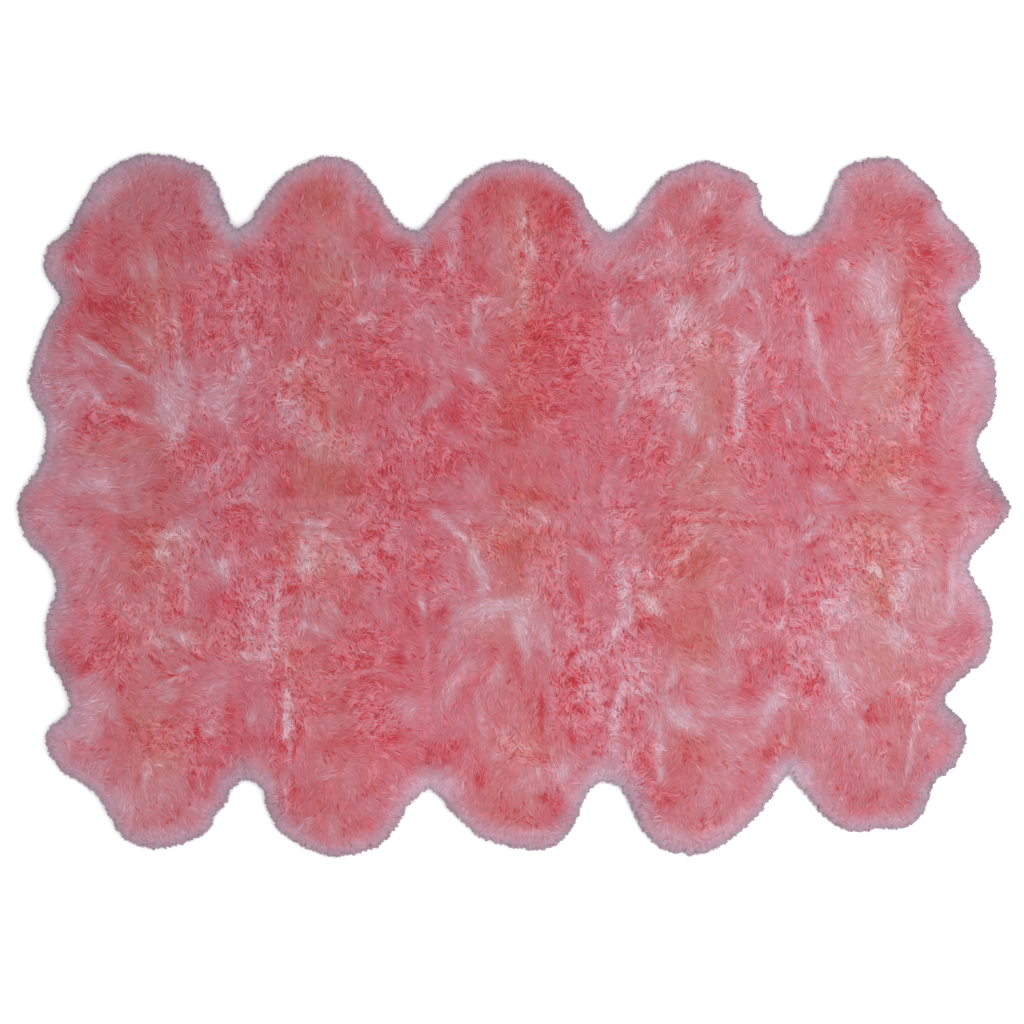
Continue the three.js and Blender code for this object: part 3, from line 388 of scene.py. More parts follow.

# Broad patches painted paler or redder: partly the dye's own shades, partly painted light and shade, as
# redder towards the back-left where the light falls off, paler in the rim's notches and darker along parts
# of the rim: [x, y, half-width, half-height, how pale or red].
BROAD_TONE_LIGHT_AND_SHADE = [
    # Back row.
    (-1040, 560, 160, 160, -0.22), (-1110, 830, 80, 60, 0.15), (-950, 650, 60, 40, 0.25),
    (-840, 800, 30, 60, -0.3), (-760, 590, 60, 40, -0.25), (-860, 310, 50, 20, -0.4),
    (-1005, 280, 30, 40, -0.35), (-1190, 210, 40, 60, 0.40), (-1130, 95, 90, 40, 0.35),
    (-920, 230, 40, 60, 0.30), (-780, 10, 50, 40, 0.3), (-560, 720, 180, 160, -0.12),
    (-430, 430, 120, 120, -0.18), (-340, 680, 60, 40, -0.25), (-480, 680, 40, 60, 0.3),
    (-560, 560, 100, 40, -0.2), (-400, 230, 80, 70, -0.35), (-610, 40, 60, 40, -0.4),
    (-450, 80, 55, 40, -0.4), (60, 800, 160, 90, -0.2), (140, 820, 40, 80, -0.25), (0, 880, 50, 25, 0.35),
    (-180, 620, 60, 60, -0.35), (130, 650, 40, 40, -0.25), (50, 460, 50, 40, -0.4),
    (-60, 430, 40, 30, -0.35), (-200, 260, 100, 80, -0.45), (0, 320, 90, 120, -0.25),
    (-30, 190, 45, 40, -0.5), (150, 250, 60, 60, -0.2), (190, 550, 30, 40, -0.35),
    (420, 640, 220, 80, 0.25), (330, 580, 60, 35, -0.45), (472, 572, 35, 35, -0.8),
    (500, 850, 60, 50, 0.4), (260, 650, 40, 30, 0.3), (320, 380, 60, 70, 0.3), (700, 400, 170, 90, 0.25),
    (925, 550, 40, 40, 0.6), (1120, 390, 50, 50, -0.35), (840, 300, 25, 60, -0.4),
    (1080, 300, 170, 160, 0.2), (1000, 130, 160, 110, 0.15), (1180, 90, 60, 60, -0.2),
    (-1170, 730, 35, 35, -0.4), (-1000, 700, 120, 40, -0.15), (-870, 680, 60, 40, -0.3),
    (-855, 560, 25, 35, -0.4), (-860, 870, 35, 30, -0.25), (-800, 470, 70, 60, -0.25),
    (-1020, 240, 30, 25, -0.3), (-1030, 170, 40, 22, -0.3), (-1170, 385, 50, 25, 0.35),
    (-920, 290, 40, 30, 0.4), (-740, 360, 25, 35, 0.35), (-990, 550, 30, 40, 0.3),
    (-1145, 640, 20, 40, 0.3), (-720, 150, 120, 45, -0.35), (-850, 60, 25, 20, 0.35),
    (-1080, 40, 35, 30, 0.4), (-1240, -30, 40, 40, 0.4), (-290, 690, 45, 30, -0.45),
    (-380, 480, 25, 35, 0.4), (-390, 370, 50, 50, -0.3), (-580, 350, 50, 35, 0.3),
    (-510, 150, 50, 40, 0.6), (-310, 240, 60, 60, 0.3), (-345, 90, 30, 30, -0.4),
    (-270, -10, 90, 25, -0.4), (-420, 800, 25, 50, -0.25), (-90, 440, 30, 60, 0.4),
    (-160, 180, 25, 50, 0.35), (-60, 90, 60, 40, -0.35), (-60, 820, 50, 30, -0.35),
    (160, 780, 25, 60, -0.3), (-90, 590, 40, 50, -0.35), (-60, 670, 25, 50, 0.35),
    (130, 590, 50, 50, -0.25), (60, 440, 50, 110, -0.35), (210, 480, 35, 60, -0.4),
    (150, 320, 110, 60, -0.2), (250, 100, 60, 40, -0.25), (490, 480, 30, 60, 0.5),
    (400, 550, 30, 50, 0.4), (570, 640, 60, 40, 0.4), (420, 700, 90, 30, -0.3), (480, 270, 35, 90, 0.5),
    (690, 160, 110, 40, -0.35), (810, 90, 50, 50, -0.4), (730, 270, 35, 35, 0.5), (640, 240, 25, 40, 0.3),
    (840, 260, 40, 60, 0.3), (550, 440, 30, 50, -0.25), (690, 330, 30, 60, -0.3),
    (820, 700, 30, 60, -0.4), (1010, 760, 60, 40, -0.4), (870, 720, 30, 40, 0.35),
    (990, 640, 50, 40, 0.5), (970, 500, 35, 30, 0.6), (1080, 470, 50, 60, -0.4),
    (1095, 630, 35, 40, -0.5), (1090, 260, 40, 100, -0.4), (1050, 140, 60, 50, -0.45),
    (930, 270, 25, 50, -0.3), (1180, 320, 50, 70, 0.3), (1000, 860, 60, 30, 0.4),
    (1110, 820, 40, 60, -0.5), (1210, 660, 40, 60, -0.45), (1195, 500, 30, 60, -0.6),
    (1240, 200, 30, 80, -0.5), (1285, 30, 45, 60, -0.9), (-1215, 490, 30, 60, -0.35),
    (-1310, 0, 25, 60, -0.70), (-745, 740, 40, 35, 0.8), (350, 810, 30, 40, 0.4), (850, 840, 25, 60, 0.7),
    # Front row.
    (-370, -140, 40, 40, 0.3), (-420, -190, 30, 30, -0.35), (-310, -260, 40, 30, -0.35),
    (-60, -50, 60, 30, -0.35), (60, -80, 50, 30, -0.4), (-190, -240, 50, 50, 0.2),
    (-90, -305, 60, 35, 0.5), (20, -270, 60, 60, 0.35), (250, -60, 50, 50, 0.35),
    (970, -110, 150, 90, 0.3), (1080, -210, 150, 100, 0.25), (1080, -150, 30, 80, -0.45),
    (820, -350, 130, 110, 0.3), (820, -250, 50, 25, -0.5), (440, -150, 40, 40, -0.3),
    (870, -510, 200, 80, 0.25), (940, -540, 50, 35, -0.45), (320, -430, 130, 110, 0.1),
    (620, -450, 170, 140, 0.25), (640, -400, 60, 100, -0.4), (500, -520, 120, 35, 0.35),
    (270, -510, 25, 60, -0.30), (30, -430, 25, 60, -0.45), (-140, -480, 50, 40, -0.25),
    (-300, -420, 70, 160, -0.25), (-380, -470, 60, 30, -0.3), (-1195, -420, 45, 90, -0.35),
    (-820, -600, 120, 60, 0.2), (-1060, -580, 60, 30, -0.4), (-1190, -640, 40, 60, 0.45),
    (-1100, -700, 60, 40, 0.35), (-200, -760, 80, 30, 0.5), (0, -810, 150, 80, 0.35),
    (230, -720, 60, 40, 0.45), (500, -860, 90, 40, 0.35), (750, -720, 50, 50, 0.65),
    (1000, -740, 60, 60, 0.35), (1100, -640, 60, 60, 0.2), (-470, -620, 90, 90, 0.15),
    (-980, -50, 70, 25, -0.35), (-730, -60, 60, 50, -0.35), (-860, -130, 70, 50, 0.3),
    (-1140, -130, 50, 60, 0.4), (-1030, -310, 30, 60, 0.4), (-1190, -320, 30, 60, 0.35),
    (-1080, -400, 35, 40, -0.4), (-770, -260, 70, 40, -0.35), (-860, -430, 40, 40, -0.3),
    (-870, -560, 40, 30, -0.35), (-750, -560, 40, 40, -0.35), (-790, -680, 60, 40, -0.45),
    (-620, -640, 20, 100, -0.4), (-610, -500, 25, 30, -0.5), (-570, -780, 50, 60, -0.3),
    (-1000, -770, 100, 60, 0.4), (-1200, -440, 40, 50, -0.75), (-1210, -680, 50, 40, -0.3),
    (-400, -100, 30, 60, -0.25), (-540, -270, 40, 30, 0.35), (-420, -350, 90, 22, -0.35),
    (-480, -490, 40, 40, 0.3), (-340, -250, 60, 50, 0.3), (-180, -150, 60, 40, 0.06),
    (-250, -450, 45, 45, 0.25), (-310, -550, 60, 40, 0.4), (-340, -640, 50, 40, -0.35),
    (10, -480, 40, 30, 0.3), (0, -580, 220, 130, 0.08), (50, -300, 40, 60, 0.35),
    (220, -130, 50, 30, -0.35), (320, -130, 40, 40, 0.4), (160, -320, 30, 40, -0.55),
    (345, -310, 30, 35, 0.25), (430, -200, 50, 70, 0.5), (390, -350, 60, 70, -0.35),
    (285, -400, 45, 35, 0.14), (460, -520, 50, 30, -0.3), (600, -510, 100, 30, -0.35),
    (740, -440, 50, 50, -0.3), (710, -300, 25, 70, -0.35), (560, -20, 70, 50, 0.3),
    (790, -240, 70, 40, -0.5), (890, -270, 40, 30, -0.35), (960, -110, 60, 40, 0.4),
    (1020, -60, 40, 25, -0.4), (980, -200, 50, 25, -0.35), (1080, -240, 90, 90, 0.35),
    (1040, -380, 50, 50, 0.4), (960, -310, 50, 50, 0.3), (800, -510, 30, 30, -0.4),
    (910, -480, 30, 30, 0.35), (730, -650, 40, 50, -0.35), (430, -700, 35, 35, -0.3),
    (480, -850, 50, 40, -0.3), (590, -640, 60, 70, 0.3), (540, -760, 70, 60, 0.3),
    (380, -600, 50, 60, 0.25), (-200, -700, 60, 25, -0.45), (-80, -750, 40, 60, -0.4),
    (110, -720, 60, 40, 0.35), (110, -840, 70, 35, -0.5), (260, -640, 60, 80, 0.3),
    (860, -760, 60, 40, 0.4), (860, -600, 100, 60, 0.25), (-230, -740, 60, 30, 0.55),
    (740, -720, 40, 30, 0.7), (1205, -290, 35, 50, 0.30), (1150, -500, 60, 60, -0.55),
    (1180, -630, 40, 60, -0.5), (1110, -760, 50, 70, -0.5),
    # Both rows.
    (1215, 80, 60, 420, 0.07), (-1210, -560, 60, 170, 0.09), (-1000, 600, 120, 130, -0.06),
    (-750, 400, 60, 80, -0.07), (-300, -820, 60, 50, 0.10), (150, -840, 60, 40, -0.10),
    (-130, 462, 30, 28, -0.60), (100, -530, 40, 50, -0.30), (80, -650, 45, 50, -0.25),
    (275, -600, 60, 35, -0.30), (-265, -330, 25, 60, -0.12), (-300, -485, 35, 30, -0.30),
    (400, -190, 50, 28, -0.35), (510, 640, 35, 35, -0.30), (600, -650, 45, 35, -0.25),
    (-905, 335, 40, 30, -0.30), (-875, 130, 30, 40, -0.20), (990, -358, 35, 28, -0.30),
    (285, 395, 35, 22, -0.30), (-225, 370, 22, 30, -0.25), (860, 770, 25, 40, -0.20),
    (480, 450, 25, 35, -0.15), (615, 280, 30, 40, -0.20), (-1165, 735, 35, 35, -0.30),
    (-340, 470, 25, 40, -0.25), (-500, -215, 50, 22, -0.20), (-240, -690, 40, 22, -0.20),
    (-810, -770, 40, 35, -0.25), (130, -810, 30, 25, -0.20), (-150, -290, 30, 50, 0.20),
    (745, -160, 55, 50, 0.35), (760, -255, 28, 35, 0.30), (890, -215, 25, 45, 0.30),
    (1000, -10, 190, 16, 0.22), (120, 375, 35, 50, 0.25), (290, 530, 22, 60, 0.25),
    (700, 365, 25, 25, 0.25), (785, 355, 25, 30, 0.25), (550, 175, 28, 55, 0.30),
    (315, 110, 35, 28, 0.25), (-980, -400, 50, 35, 0.22), (1110, -420, 25, 30, 0.20),
    (-635, -560, 22, 45, 0.20), (1040, 830, 30, 28, 0.25), (-170, 680, 22, 80, 0.20),
    (165, 640, 45, 22, 0.20), (1200, -440, 30, 35, -0.40), (1135, -740, 25, 40, -0.35),
    (390, -860, 40, 35, 0.30), (-300, -640, 50, 20, 0.25), (-120, -680, 22, 50, 0.25),
    (230, -545, 60, 18, 0.25), (620, -370, 35, 25, 0.20), (-285, -400, 18, 50, 0.20),
    (1000, 240, 60, 60, 0.12), (920, 400, 50, 60, 0.15), (1220, -40, 35, 60, 0.30),
    (880, 600, 60, 18, 0.20), (-1170, 650, 25, 80, -0.35), (-1060, 620, 45, 50, -0.15),
    (-455, 575, 28, 28, -0.20), (-600, 390, 40, 28, -0.20), (-495, 330, 25, 50, -0.20),
    (-530, 158, 35, 22, -0.20), (-220, -100, 30, 35, -0.30), (-385, -540, 25, 45, -0.20),
    (-530, -465, 40, 28, -0.18), (290, -450, 30, 40, -0.25), (325, -590, 22, 55, -0.25),
    (-370, -250, 35, 25, -0.15), (-725, 575, 20, 30, -0.20), (-850, 870, 25, 25, -0.20),
    (-130, 740, 30, 55, -0.18), (70, 690, 25, 45, -0.18), (380, 90, 35, 30, -0.20),
    (480, -60, 30, 60, -0.15), (-860, -640, 50, 20, 0.22), (720, -210, 30, 22, 0.20),
    (-1110, -540, 50, 50, 0.15), (560, -460, 45, 45, 0.15), (400, -860, 30, 25, 0.15),
    (620, -360, 30, 22, 0.15), (0, 225, 30, 22, 0.15), (-160, 120, 25, 22, 0.15),
    (-115, -160, 20, 40, 0.20), (260, 660, 40, 22, 0.15), (950, 380, 40, 50, 0.12),
    (735, 175, 30, 28, 0.15), (-700, 480, 22, 40, 0.15), (-1220, 660, 25, 40, 0.20),
    (-1090, 580, 40, 30, 0.15), (-960, -240, 50, 30, 0.15), (-590, 680, 40, 30, 0.15),
    (640, 750, 30, 40, 0.15),
]

# Where the rim's grey-lilac, partly painted shade, comes further in: [x, y, half-width, half-height, how
# much].
RIM_LILAC_REACH = [
    (-1195, 620, 45, 60, 0.5), (-1150, 790, 60, 60, 0.25), (-1250, 320, 50, 130, 0.4),
    (-1200, 120, 50, 90, 0.35), (-1250, -30, 70, 70, 0.35), (-1190, -250, 45, 120, 0.3),
    (-1190, -590, 70, 70, 0.5), (-1140, -520, 60, 50, 0.3), (-700, 690, 60, 50, 0.35),
    (-240, 690, 50, 50, 0.35), (250, 690, 60, 50, 0.35), (740, 680, 70, 50, 0.3),
    (-700, -690, 60, 50, 0.4), (-220, -700, 80, 60, 0.55), (250, -700, 70, 60, 0.5),
    (740, -690, 70, 60, 0.55), (1220, 340, 60, 120, 0.45), (1190, 640, 60, 50, 0.4),
    (1250, 60, 50, 50, 0.25), (1190, -120, 50, 50, 0.3), (1190, -420, 50, 60, 0.35),
    (1120, -560, 60, 50, 0.3), (0, -880, 120, 40, 0.3), (-980, -860, 90, 40, 0.25),
]

# Where the dye took browner, to a dusty salmon: [x, y, half-width, half-height, how much].
DUSTY = [
    (-950, 560, 50, 110, 0.5), (-510, 80, 80, 70, 0.9), (-505, 240, 50, 80, 0.6),
    (-590, 330, 60, 60, 0.4), (-1070, 145, 100, 30, 0.6), (-500, 610, 70, 60, 0.8),
    (-510, 800, 50, 80, 0.7), (10, 560, 40, 140, 0.7), (20, 760, 60, 80, 0.5), (40, 30, 80, 35, 0.7),
    (0, 250, 60, 50, 0.7), (0, -90, 130, 40, 0.8), (0, -190, 60, 80, 0.5), (-60, -330, 70, 40, 0.6),
    (490, 420, 60, 50, 0.4), (520, 330, 50, 90, 0.55), (500, 240, 45, 80, 0.5), (525, 70, 90, 60, 0.6),
    (470, -165, 70, 70, 0.8), (345, -245, 50, 50, 0.7), (340, -80, 60, 60, 0.5), (470, -340, 80, 80, 0.9),
    (450, -640, 60, 40, 0.5), (600, -40, 130, 40, 0.4), (960, 320, 80, 100, 0.8),
    (1050, 480, 35, 160, 0.8), (960, 90, 90, 70, 0.9), (950, -60, 80, 50, 0.8), (960, -210, 50, 90, 1.0),
    (1110, -50, 60, 50, 0.7), (1110, -230, 60, 90, 0.5), (960, -400, 90, 60, 0.6),
    (-580, -400, 40, 50, 0.6), (-590, -100, 50, 80, 0.6), (-500, -150, 50, 50, 0.6),
    (-960, -110, 70, 70, 0.8), (-860, -340, 90, 40, 0.5), (-1000, -560, 60, 40, 0.6),
    (-920, -600, 60, 70, 0.5), (-950, -680, 60, 30, 0.7), (-735, -380, 40, 50, 0.5),
    (40, -640, 80, 40, 0.6), (-30, -780, 100, 60, 0.3), (700, -640, 60, 50, 0.5),
    (740, -560, 30, 90, 0.5), (800, -700, 60, 60, 0.4), (1100, -500, 60, 80, 0.4),
    (-1020, 460, 110, 60, 0.4),
]

# The dye is this dull all over, from 0 for a clear red to 1, and painted duller and darker or clearer in
# places, partly the dye and partly painted shade, as over the back-left lobes and at the right-hand rim:
# [x, y, half-width, half-height, how much duller].
DULL_ALL_OVER = 0.35
DULL_AND_SHADE = [
    (-1180, 850, 260, 170, 0.8), (-820, 800, 160, 120, 0.4), (-1150, 400, 200, 200, 0.35),
    (-600, 500, 350, 450, 0.25), (-1000, 20, 300, 150, 0.3), (-350, 20, 200, 120, 0.2),
    (1180, -560, 60, 90, 0.5), (1270, 60, 60, 90, 0.5), (1090, -770, 160, 110, 0.55),
    (0, -90, 120, 60, 0.2), (960, -230, 60, 90, 0.25), (-180, -660, 340, 230, -0.38),
    (830, 480, 210, 220, -0.32), (-1210, -540, 70, 80, -0.2),
]

# Where the wool kept its curl, or was brushed quite smooth: [x, y, half-width, half-height, how curly].
CURLS = [
    (-750, 490, 110, 120, 0.5), (-1000, 800, 160, 80, -0.7), (-1090, 420, 110, 110, -0.35),
    (-950, 640, 100, 100, -0.6), (-900, 280, 90, 80, -0.4), (-1130, 90, 120, 80, -0.6),
    (-790, 90, 80, 60, 0.4), (-1040, 230, 60, 50, 0.4), (-540, 790, 120, 90, -0.6),
    (-600, 300, 70, 80, 0.6), (-360, 440, 70, 70, 0.5), (-350, 130, 200, 110, 0.1),
    (-510, 70, 70, 60, -0.7), (-680, 60, 60, 60, -0.6), (-400, 700, 80, 70, -0.2),
    (-30, 830, 120, 50, -0.5), (25, 620, 40, 180, 0.6), (-25, 600, 30, 90, -0.6),
    (130, 380, 90, 160, 0.4), (-150, 360, 60, 70, -0.4), (-200, 120, 70, 100, 0.5),
    (20, 90, 110, 80, -0.5), (-90, 60, 50, 50, -0.6), (440, 480, 60, 90, 0.5), (380, 330, 100, 90, 0.7),
    (500, 420, 50, 40, 0.7), (600, 300, 40, 140, 0.7), (340, 140, 90, 60, 0.6), (520, 300, 50, 60, -0.7),
    (540, 70, 90, 50, -0.5), (460, 850, 60, 40, 0.3), (620, 800, 90, 70, -0.5), (700, 380, 80, 60, 0.4),
    (940, 830, 120, 60, -0.6), (1090, 670, 70, 60, 0.4), (960, 580, 80, 70, -0.3),
    (1070, 300, 50, 160, 0.7), (930, 320, 80, 80, -0.5), (1180, 200, 80, 180, -0.6),
    (850, 130, 50, 60, 0.6), (960, 100, 80, 60, 0.3), (820, 40, 60, 40, -0.6),
    (-1150, -120, 120, 120, -0.4), (-960, -110, 60, 60, 0.5), (-860, -220, 80, 100, 0.3),
    (-1100, -420, 70, 60, 0.5), (-1120, -580, 110, 90, -0.7), (-900, -620, 90, 70, 0.4),
    (-950, -800, 140, 70, -0.7), (-700, -300, 70, 120, 0.6), (-600, -520, 50, 150, 0.8),
    (-700, -600, 70, 80, -0.7), (-560, -120, 60, 80, 0.1), (-360, -120, 70, 70, 0.5),
    (-470, -560, 110, 160, 0.3), (-480, -810, 130, 70, -0.4), (-250, -500, 90, 120, -0.4),
    (-180, -640, 70, 60, -0.8), (-30, -90, 120, 50, 0.2), (160, -180, 80, 120, 0.2),
    (0, -280, 110, 60, -0.2), (-60, -480, 100, 140, -0.4), (160, -420, 60, 140, 0.8),
    (280, -540, 50, 120, 0.8), (0, -800, 140, 80, -0.4), (20, -650, 70, 40, 0.4),
    (345, -250, 60, 70, 0.8), (470, -290, 80, 60, -0.8), (640, -160, 130, 80, -0.5),
    (400, -100, 80, 60, 0.5), (330, -440, 70, 90, 0.6), (480, -500, 100, 60, -0.5),
    (560, -700, 130, 120, -0.6), (450, -640, 60, 40, 0.3), (400, -770, 70, 50, 0.3),
    (700, -330, 60, 70, 0.3), (640, -480, 80, 70, -0.3), (810, -240, 90, 100, 0.5),
    (950, -130, 80, 70, 0.8), (980, -260, 50, 60, 0.7), (1150, -250, 70, 130, -0.6),
    (1060, -480, 60, 60, 0.4), (860, -640, 110, 110, -0.6), (950, -780, 140, 60, -0.7),
    (780, -470, 50, 80, 0.4), (940, -400, 70, 60, -0.2), (1150, -620, 60, 60, -0.5),
]


def from_srgb(code):
    """A linear RGBA colour from an sRGB hex code."""
    channels = [int(code[i:i + 2], 16) / 255 for i in (1, 3, 5)]
    linear = [c / 12.92 if c <= 0.04045 else ((c + 0.055) / 1.055) ** 2.4 for c in channels]
    return (*linear, 1.0)


def add_node(tree, kind, settings=None, values=None, links=None, stops=None):
    """One node of a material: its settings, its sockets' values, its links and a ramp's colour stops."""
    node = tree.nodes.new(kind)
    for name, value in (settings or {}).items():
        setattr(node, name, value)
    sockets = {socket.identifier: socket for socket in node.inputs}
    for name, value in (values or {}).items():
        sockets[name].default_value = value
    for name, source in (links or {}).items():
        tree.links.new(source, sockets[name])
    if stops:
        elements = node.color_ramp.elements
        while len(elements) < len(stops):
            elements.new(0.5)
        for element, (place, colour) in zip(elements, stops):
            element.position = place
            element.color = colour
    return node


# ---- the ground: what is known of each place on the rug ----

def pelt_trees():
    """For each pelt, a tree of its solid's faces, to feel for it from above."""
    trees = []
    for name in PELTS:
        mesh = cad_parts[name].data
        corners = [vertex.co / MM for vertex in mesh.vertices]
        faces = [tuple(face.vertices) for face in mesh.polygons]
        trees.append(BVHTree.FromPolygons(corners, faces))
    return trees


def rim_points(spacing=4.0):
    """Points along the outer rim of the rug, where the wool reaches furthest out."""
    found = []
    for name in PELTS:
        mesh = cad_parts[name].data
        for edge in mesh.edges:
            ends = [mesh.vertices[i].co / MM for i in edge.vertices]
            if all(abs(end.z - RIM_HEIGHT) < 0.1 for end in ends):
                count = max(1, round((ends[1] - ends[0]).length / spacing))
                found.extend(ends[0].lerp(ends[1], k / count) for k in range(count))
    return found


def nearest(points):
    tree = KDTree(len(points))
    for i, point in enumerate(points):
        tree.insert(Vector((point[0], point[1], 0)), i)
    tree.balance()
    return tree


def soften(field, times):
    """The field with each value averaged with its neighbours, over and over."""
    for _ in range(times):
        padded = np.pad(field, 1, mode="edge")
        field = (
            padded[1:-1, 1:-1] * 2
            + padded[:-2, 1:-1] + padded[2:, 1:-1] + padded[1:-1, :-2] + padded[1:-1, 2:]
        ) / 6
    return field


def pelt_below(place, trees, boxes):
    """The number of the pelt straight below a place over the rug, or -1 where there is none."""
    for number, (lowest, highest) in enumerate(boxes):
        if lowest.x <= place.x <= highest.x and lowest.y <= place.y <= highest.y:
            if trees[number].ray_cast(place, Vector((0, 0, -1)))[0] is not None:
                return number
    return -1


def seam_distance(pelt, xs, ys):
    """How far each place of the ground's grid is from the nearest seam between two pelts."""
    sewn = (pelt[1:, :-1] != pelt[:-1, :-1]) | (pelt[:-1, 1:] != pelt[:-1, :-1])
    sewn &= (pelt[1:, :-1] >= 0) & (pelt[:-1, :-1] >= 0) & (pelt[:-1, 1:] >= 0)
    rows, columns = np.nonzero(sewn)
    half = GROUND_STEP / 2
    seams = nearest([(xs[i] + half, ys[j] + half) for j, i in zip(rows, columns)])
    return np.array([[seams.find(Vector((x, y, 0)))[2] for x in xs] for y in ys])


def survey_ground():
    """A grid of places seen from above: which pelt is there, how far in from the rim and from a seam, and
    which way is out."""
    low, high = (np.array(corner) / MM for corner in cad_box)
    beyond = 30
    above = 99
    aside = 0.7
    xs = np.arange(low[0] - beyond, high[0] + beyond, GROUND_STEP)
    ys = np.arange(low[1] - beyond, high[1] + beyond, GROUND_STEP)
    pelt = np.full((len(ys), len(xs)), -1)
    inside = np.zeros((len(ys), len(xs)))
    out_x = np.zeros((len(ys), len(xs)))
    out_y = np.zeros((len(ys), len(xs)))
    trees = pelt_trees()
    boxes = [[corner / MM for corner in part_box(name)] for name in PELTS]
    rim = nearest(rim_points())
    for j, y in enumerate(ys):
        for i, x in enumerate(xs):
            pelt[j, i] = pelt_below(Vector((x, y, above)), trees, boxes)
            if pelt[j, i] < 0:
                # It may be in a seam's gap, so the pelt is felt for a little aside too.
                pelt[j, i] = pelt_below(Vector((x + aside, y + aside, above)), trees, boxes)
            edge, _, distance = rim.find(Vector((x, y, 0)))
            sign = 1 if pelt[j, i] >= 0 else -1
            inside[j, i] = sign * distance
            out_x[j, i] = sign * (edge.x - x) / max(distance, 1)
            out_y[j, i] = sign * (edge.y - y) / max(distance, 1)
    out_x = soften(out_x, 4)
    out_y = soften(out_y, 4)
    length = np.maximum(np.hypot(out_x, out_y), 1e-3)
    return {
        "xs": xs, "ys": ys, "pelt": pelt, "inside": inside, "seam": seam_distance(pelt, xs, ys),
        "out_x": out_x / length, "out_y": out_y / length,
    }


def look_up(name, x, y):
    """A field of the ground at places between its grid points."""
    field = ground[name]
    u = np.clip((x - ground["xs"][0]) / GROUND_STEP, 0, field.shape[1] - 1.001)
    v = np.clip((y - ground["ys"][0]) / GROUND_STEP, 0, field.shape[0] - 1.001)
    if name == "pelt":
        return field[np.rint(v).astype(int), np.rint(u).astype(int)]
    i = u.astype(int)
    j = v.astype(int)
    u = u - i
    v = v - j
    near = field[j, i] * (1 - u) + field[j, i + 1] * u
    far = field[j + 1, i] * (1 - u) + field[j + 1, i + 1] * u
    return near * (1 - v) + far * v


def drift(x, y, size, seed):
    """Soft random values from -1 to 1 that change from place to place over about size."""
    count = 512
    lattice = np.random.default_rng(SEED + seed).uniform(-1, 1, (count, count))
    u = x / size + count / 2
    v = y / size + count / 2
    i = np.floor(u).astype(int)
    j = np.floor(v).astype(int)
    u = u - i
    v = v - j
    u = u * u * (3 - 2 * u)
    v = v * v * (3 - 2 * v)
    i = i % count
    j = j % count
    right = (i + 1) % count
    above = (j + 1) % count
    near = lattice[j, i] * (1 - u) + lattice[j, right] * u
    far = lattice[above, i] * (1 - u) + lattice[above, right] * u
    return near * (1 - v) + far * v


def ease(low, high, value):
    t = np.clip((value - low) / (high - low), 0, 1)
    return t * t * (3 - 2 * t)


# ---- how the wool lies ----

def brushed_way(x, y):
    """The direction that the tips point, as an angle, and how far over they lean, 0 to 1."""
    along = np.zeros_like(x)
    across = np.zeros_like(x)
    total = np.full_like(x, 1e-4)
    for cx, cy, bearing in COMBING:
        weight = np.exp(-((x - cx) ** 2 + (y - cy) ** 2) / COMBING_REACH ** 2) + 1e-6
        along += weight * math.cos(math.radians(bearing))
        across += weight * math.sin(math.radians(bearing))
        total += weight
    along /= total
    across /= total
    straight = 1 - curliness(x, y)
    for cx, cy, length, width, bearing, _ in SHEEN_AND_SHADE_MARKS:
        if length > 2.5 * width:
            angle = math.radians(bearing)
            weight = 1.5 * np.exp(-((x - cx) ** 2 + (y - cy) ** 2) / length ** 2) * straight
            same_way = np.sign(along * math.cos(angle) + across * math.sin(angle))
            along += weight * same_way * math.cos(angle)
            across += weight * same_way * math.sin(angle)
    rim = 1 - ease(SPLAYED_FROM, SPLAYED_TO, look_up("inside", x, y))
    along = along * (1 - rim) + 1.5 * look_up("out_x", x, y) * rim
    across = across * (1 - rim) + 1.5 * look_up("out_y", x, y) * rim
    swirl = 0.45 * drift(x, y, 60, 1) + 0.55 * drift(x, y, 26, 2)
    way = np.arctan2(across, along) + swirl * (1 - 0.85 * rim)
    return way, ease(0.05, 0.6, np.hypot(along, across))


def mark_tone(x, y):
    """How pale (above 0) or red (below 0) each place is painted: the dye's tone, the marks' painted sheen
    and shade, and broad patches of tone and painted light and shade.
    """
    wx = x + 3 * drift(x, y, 40, 3)
    wy = y + 3 * drift(x, y, 40, 5)
    tone = 0.10 * drift(x, y, 48, 12) + 0.12 * drift(x, y * 0.35, 20, 13) - 0.03
    tufts = MARK_STRENGTH * (1 + 0.40 * drift(x, y, 11, 24))
    for cx, cy, length, width, bearing, pale in SHEEN_AND_SHADE_MARKS:
        reach = 2.2 * max(length, width)
        if not (wx.min() - reach < cx < wx.max() + reach and wy.min() - reach < cy < wy.max() + reach):
            continue
        close = np.flatnonzero((np.abs(wx - cx) < reach) & (np.abs(wy - cy) < reach))
        angle = math.radians(bearing)
        dx = wx[close] - cx
        dy = wy[close] - cy
        narrow = 0.8 if length > 4 * width else 0.9
        a = (dx * math.cos(angle) + dy * math.sin(angle)) / (length + 2)
        b = (dy * math.cos(angle) - dx * math.sin(angle)) / (narrow * width + 2)
        tone[close] += tufts[close] * narrow * pale * np.exp(-(a * a + b * b) ** 1.3)
    return np.clip(tone + patches(BROAD_TONE_LIGHT_AND_SHADE, x, y), -1, 1.3)


def patches(table, x, y):
    """The sum of soft round patches, each as strong as its row in the table says."""
    wx = x + 9 * drift(x, y, 60, 14)
    wy = y + 9 * drift(x, y, 60, 15)
    total = np.zeros_like(x)
    for cx, cy, half_width, half_height, strength in table:
        total += strength * np.exp(-(((wx - cx) / half_width) ** 2 + ((wy - cy) / half_height) ** 2))
    return total


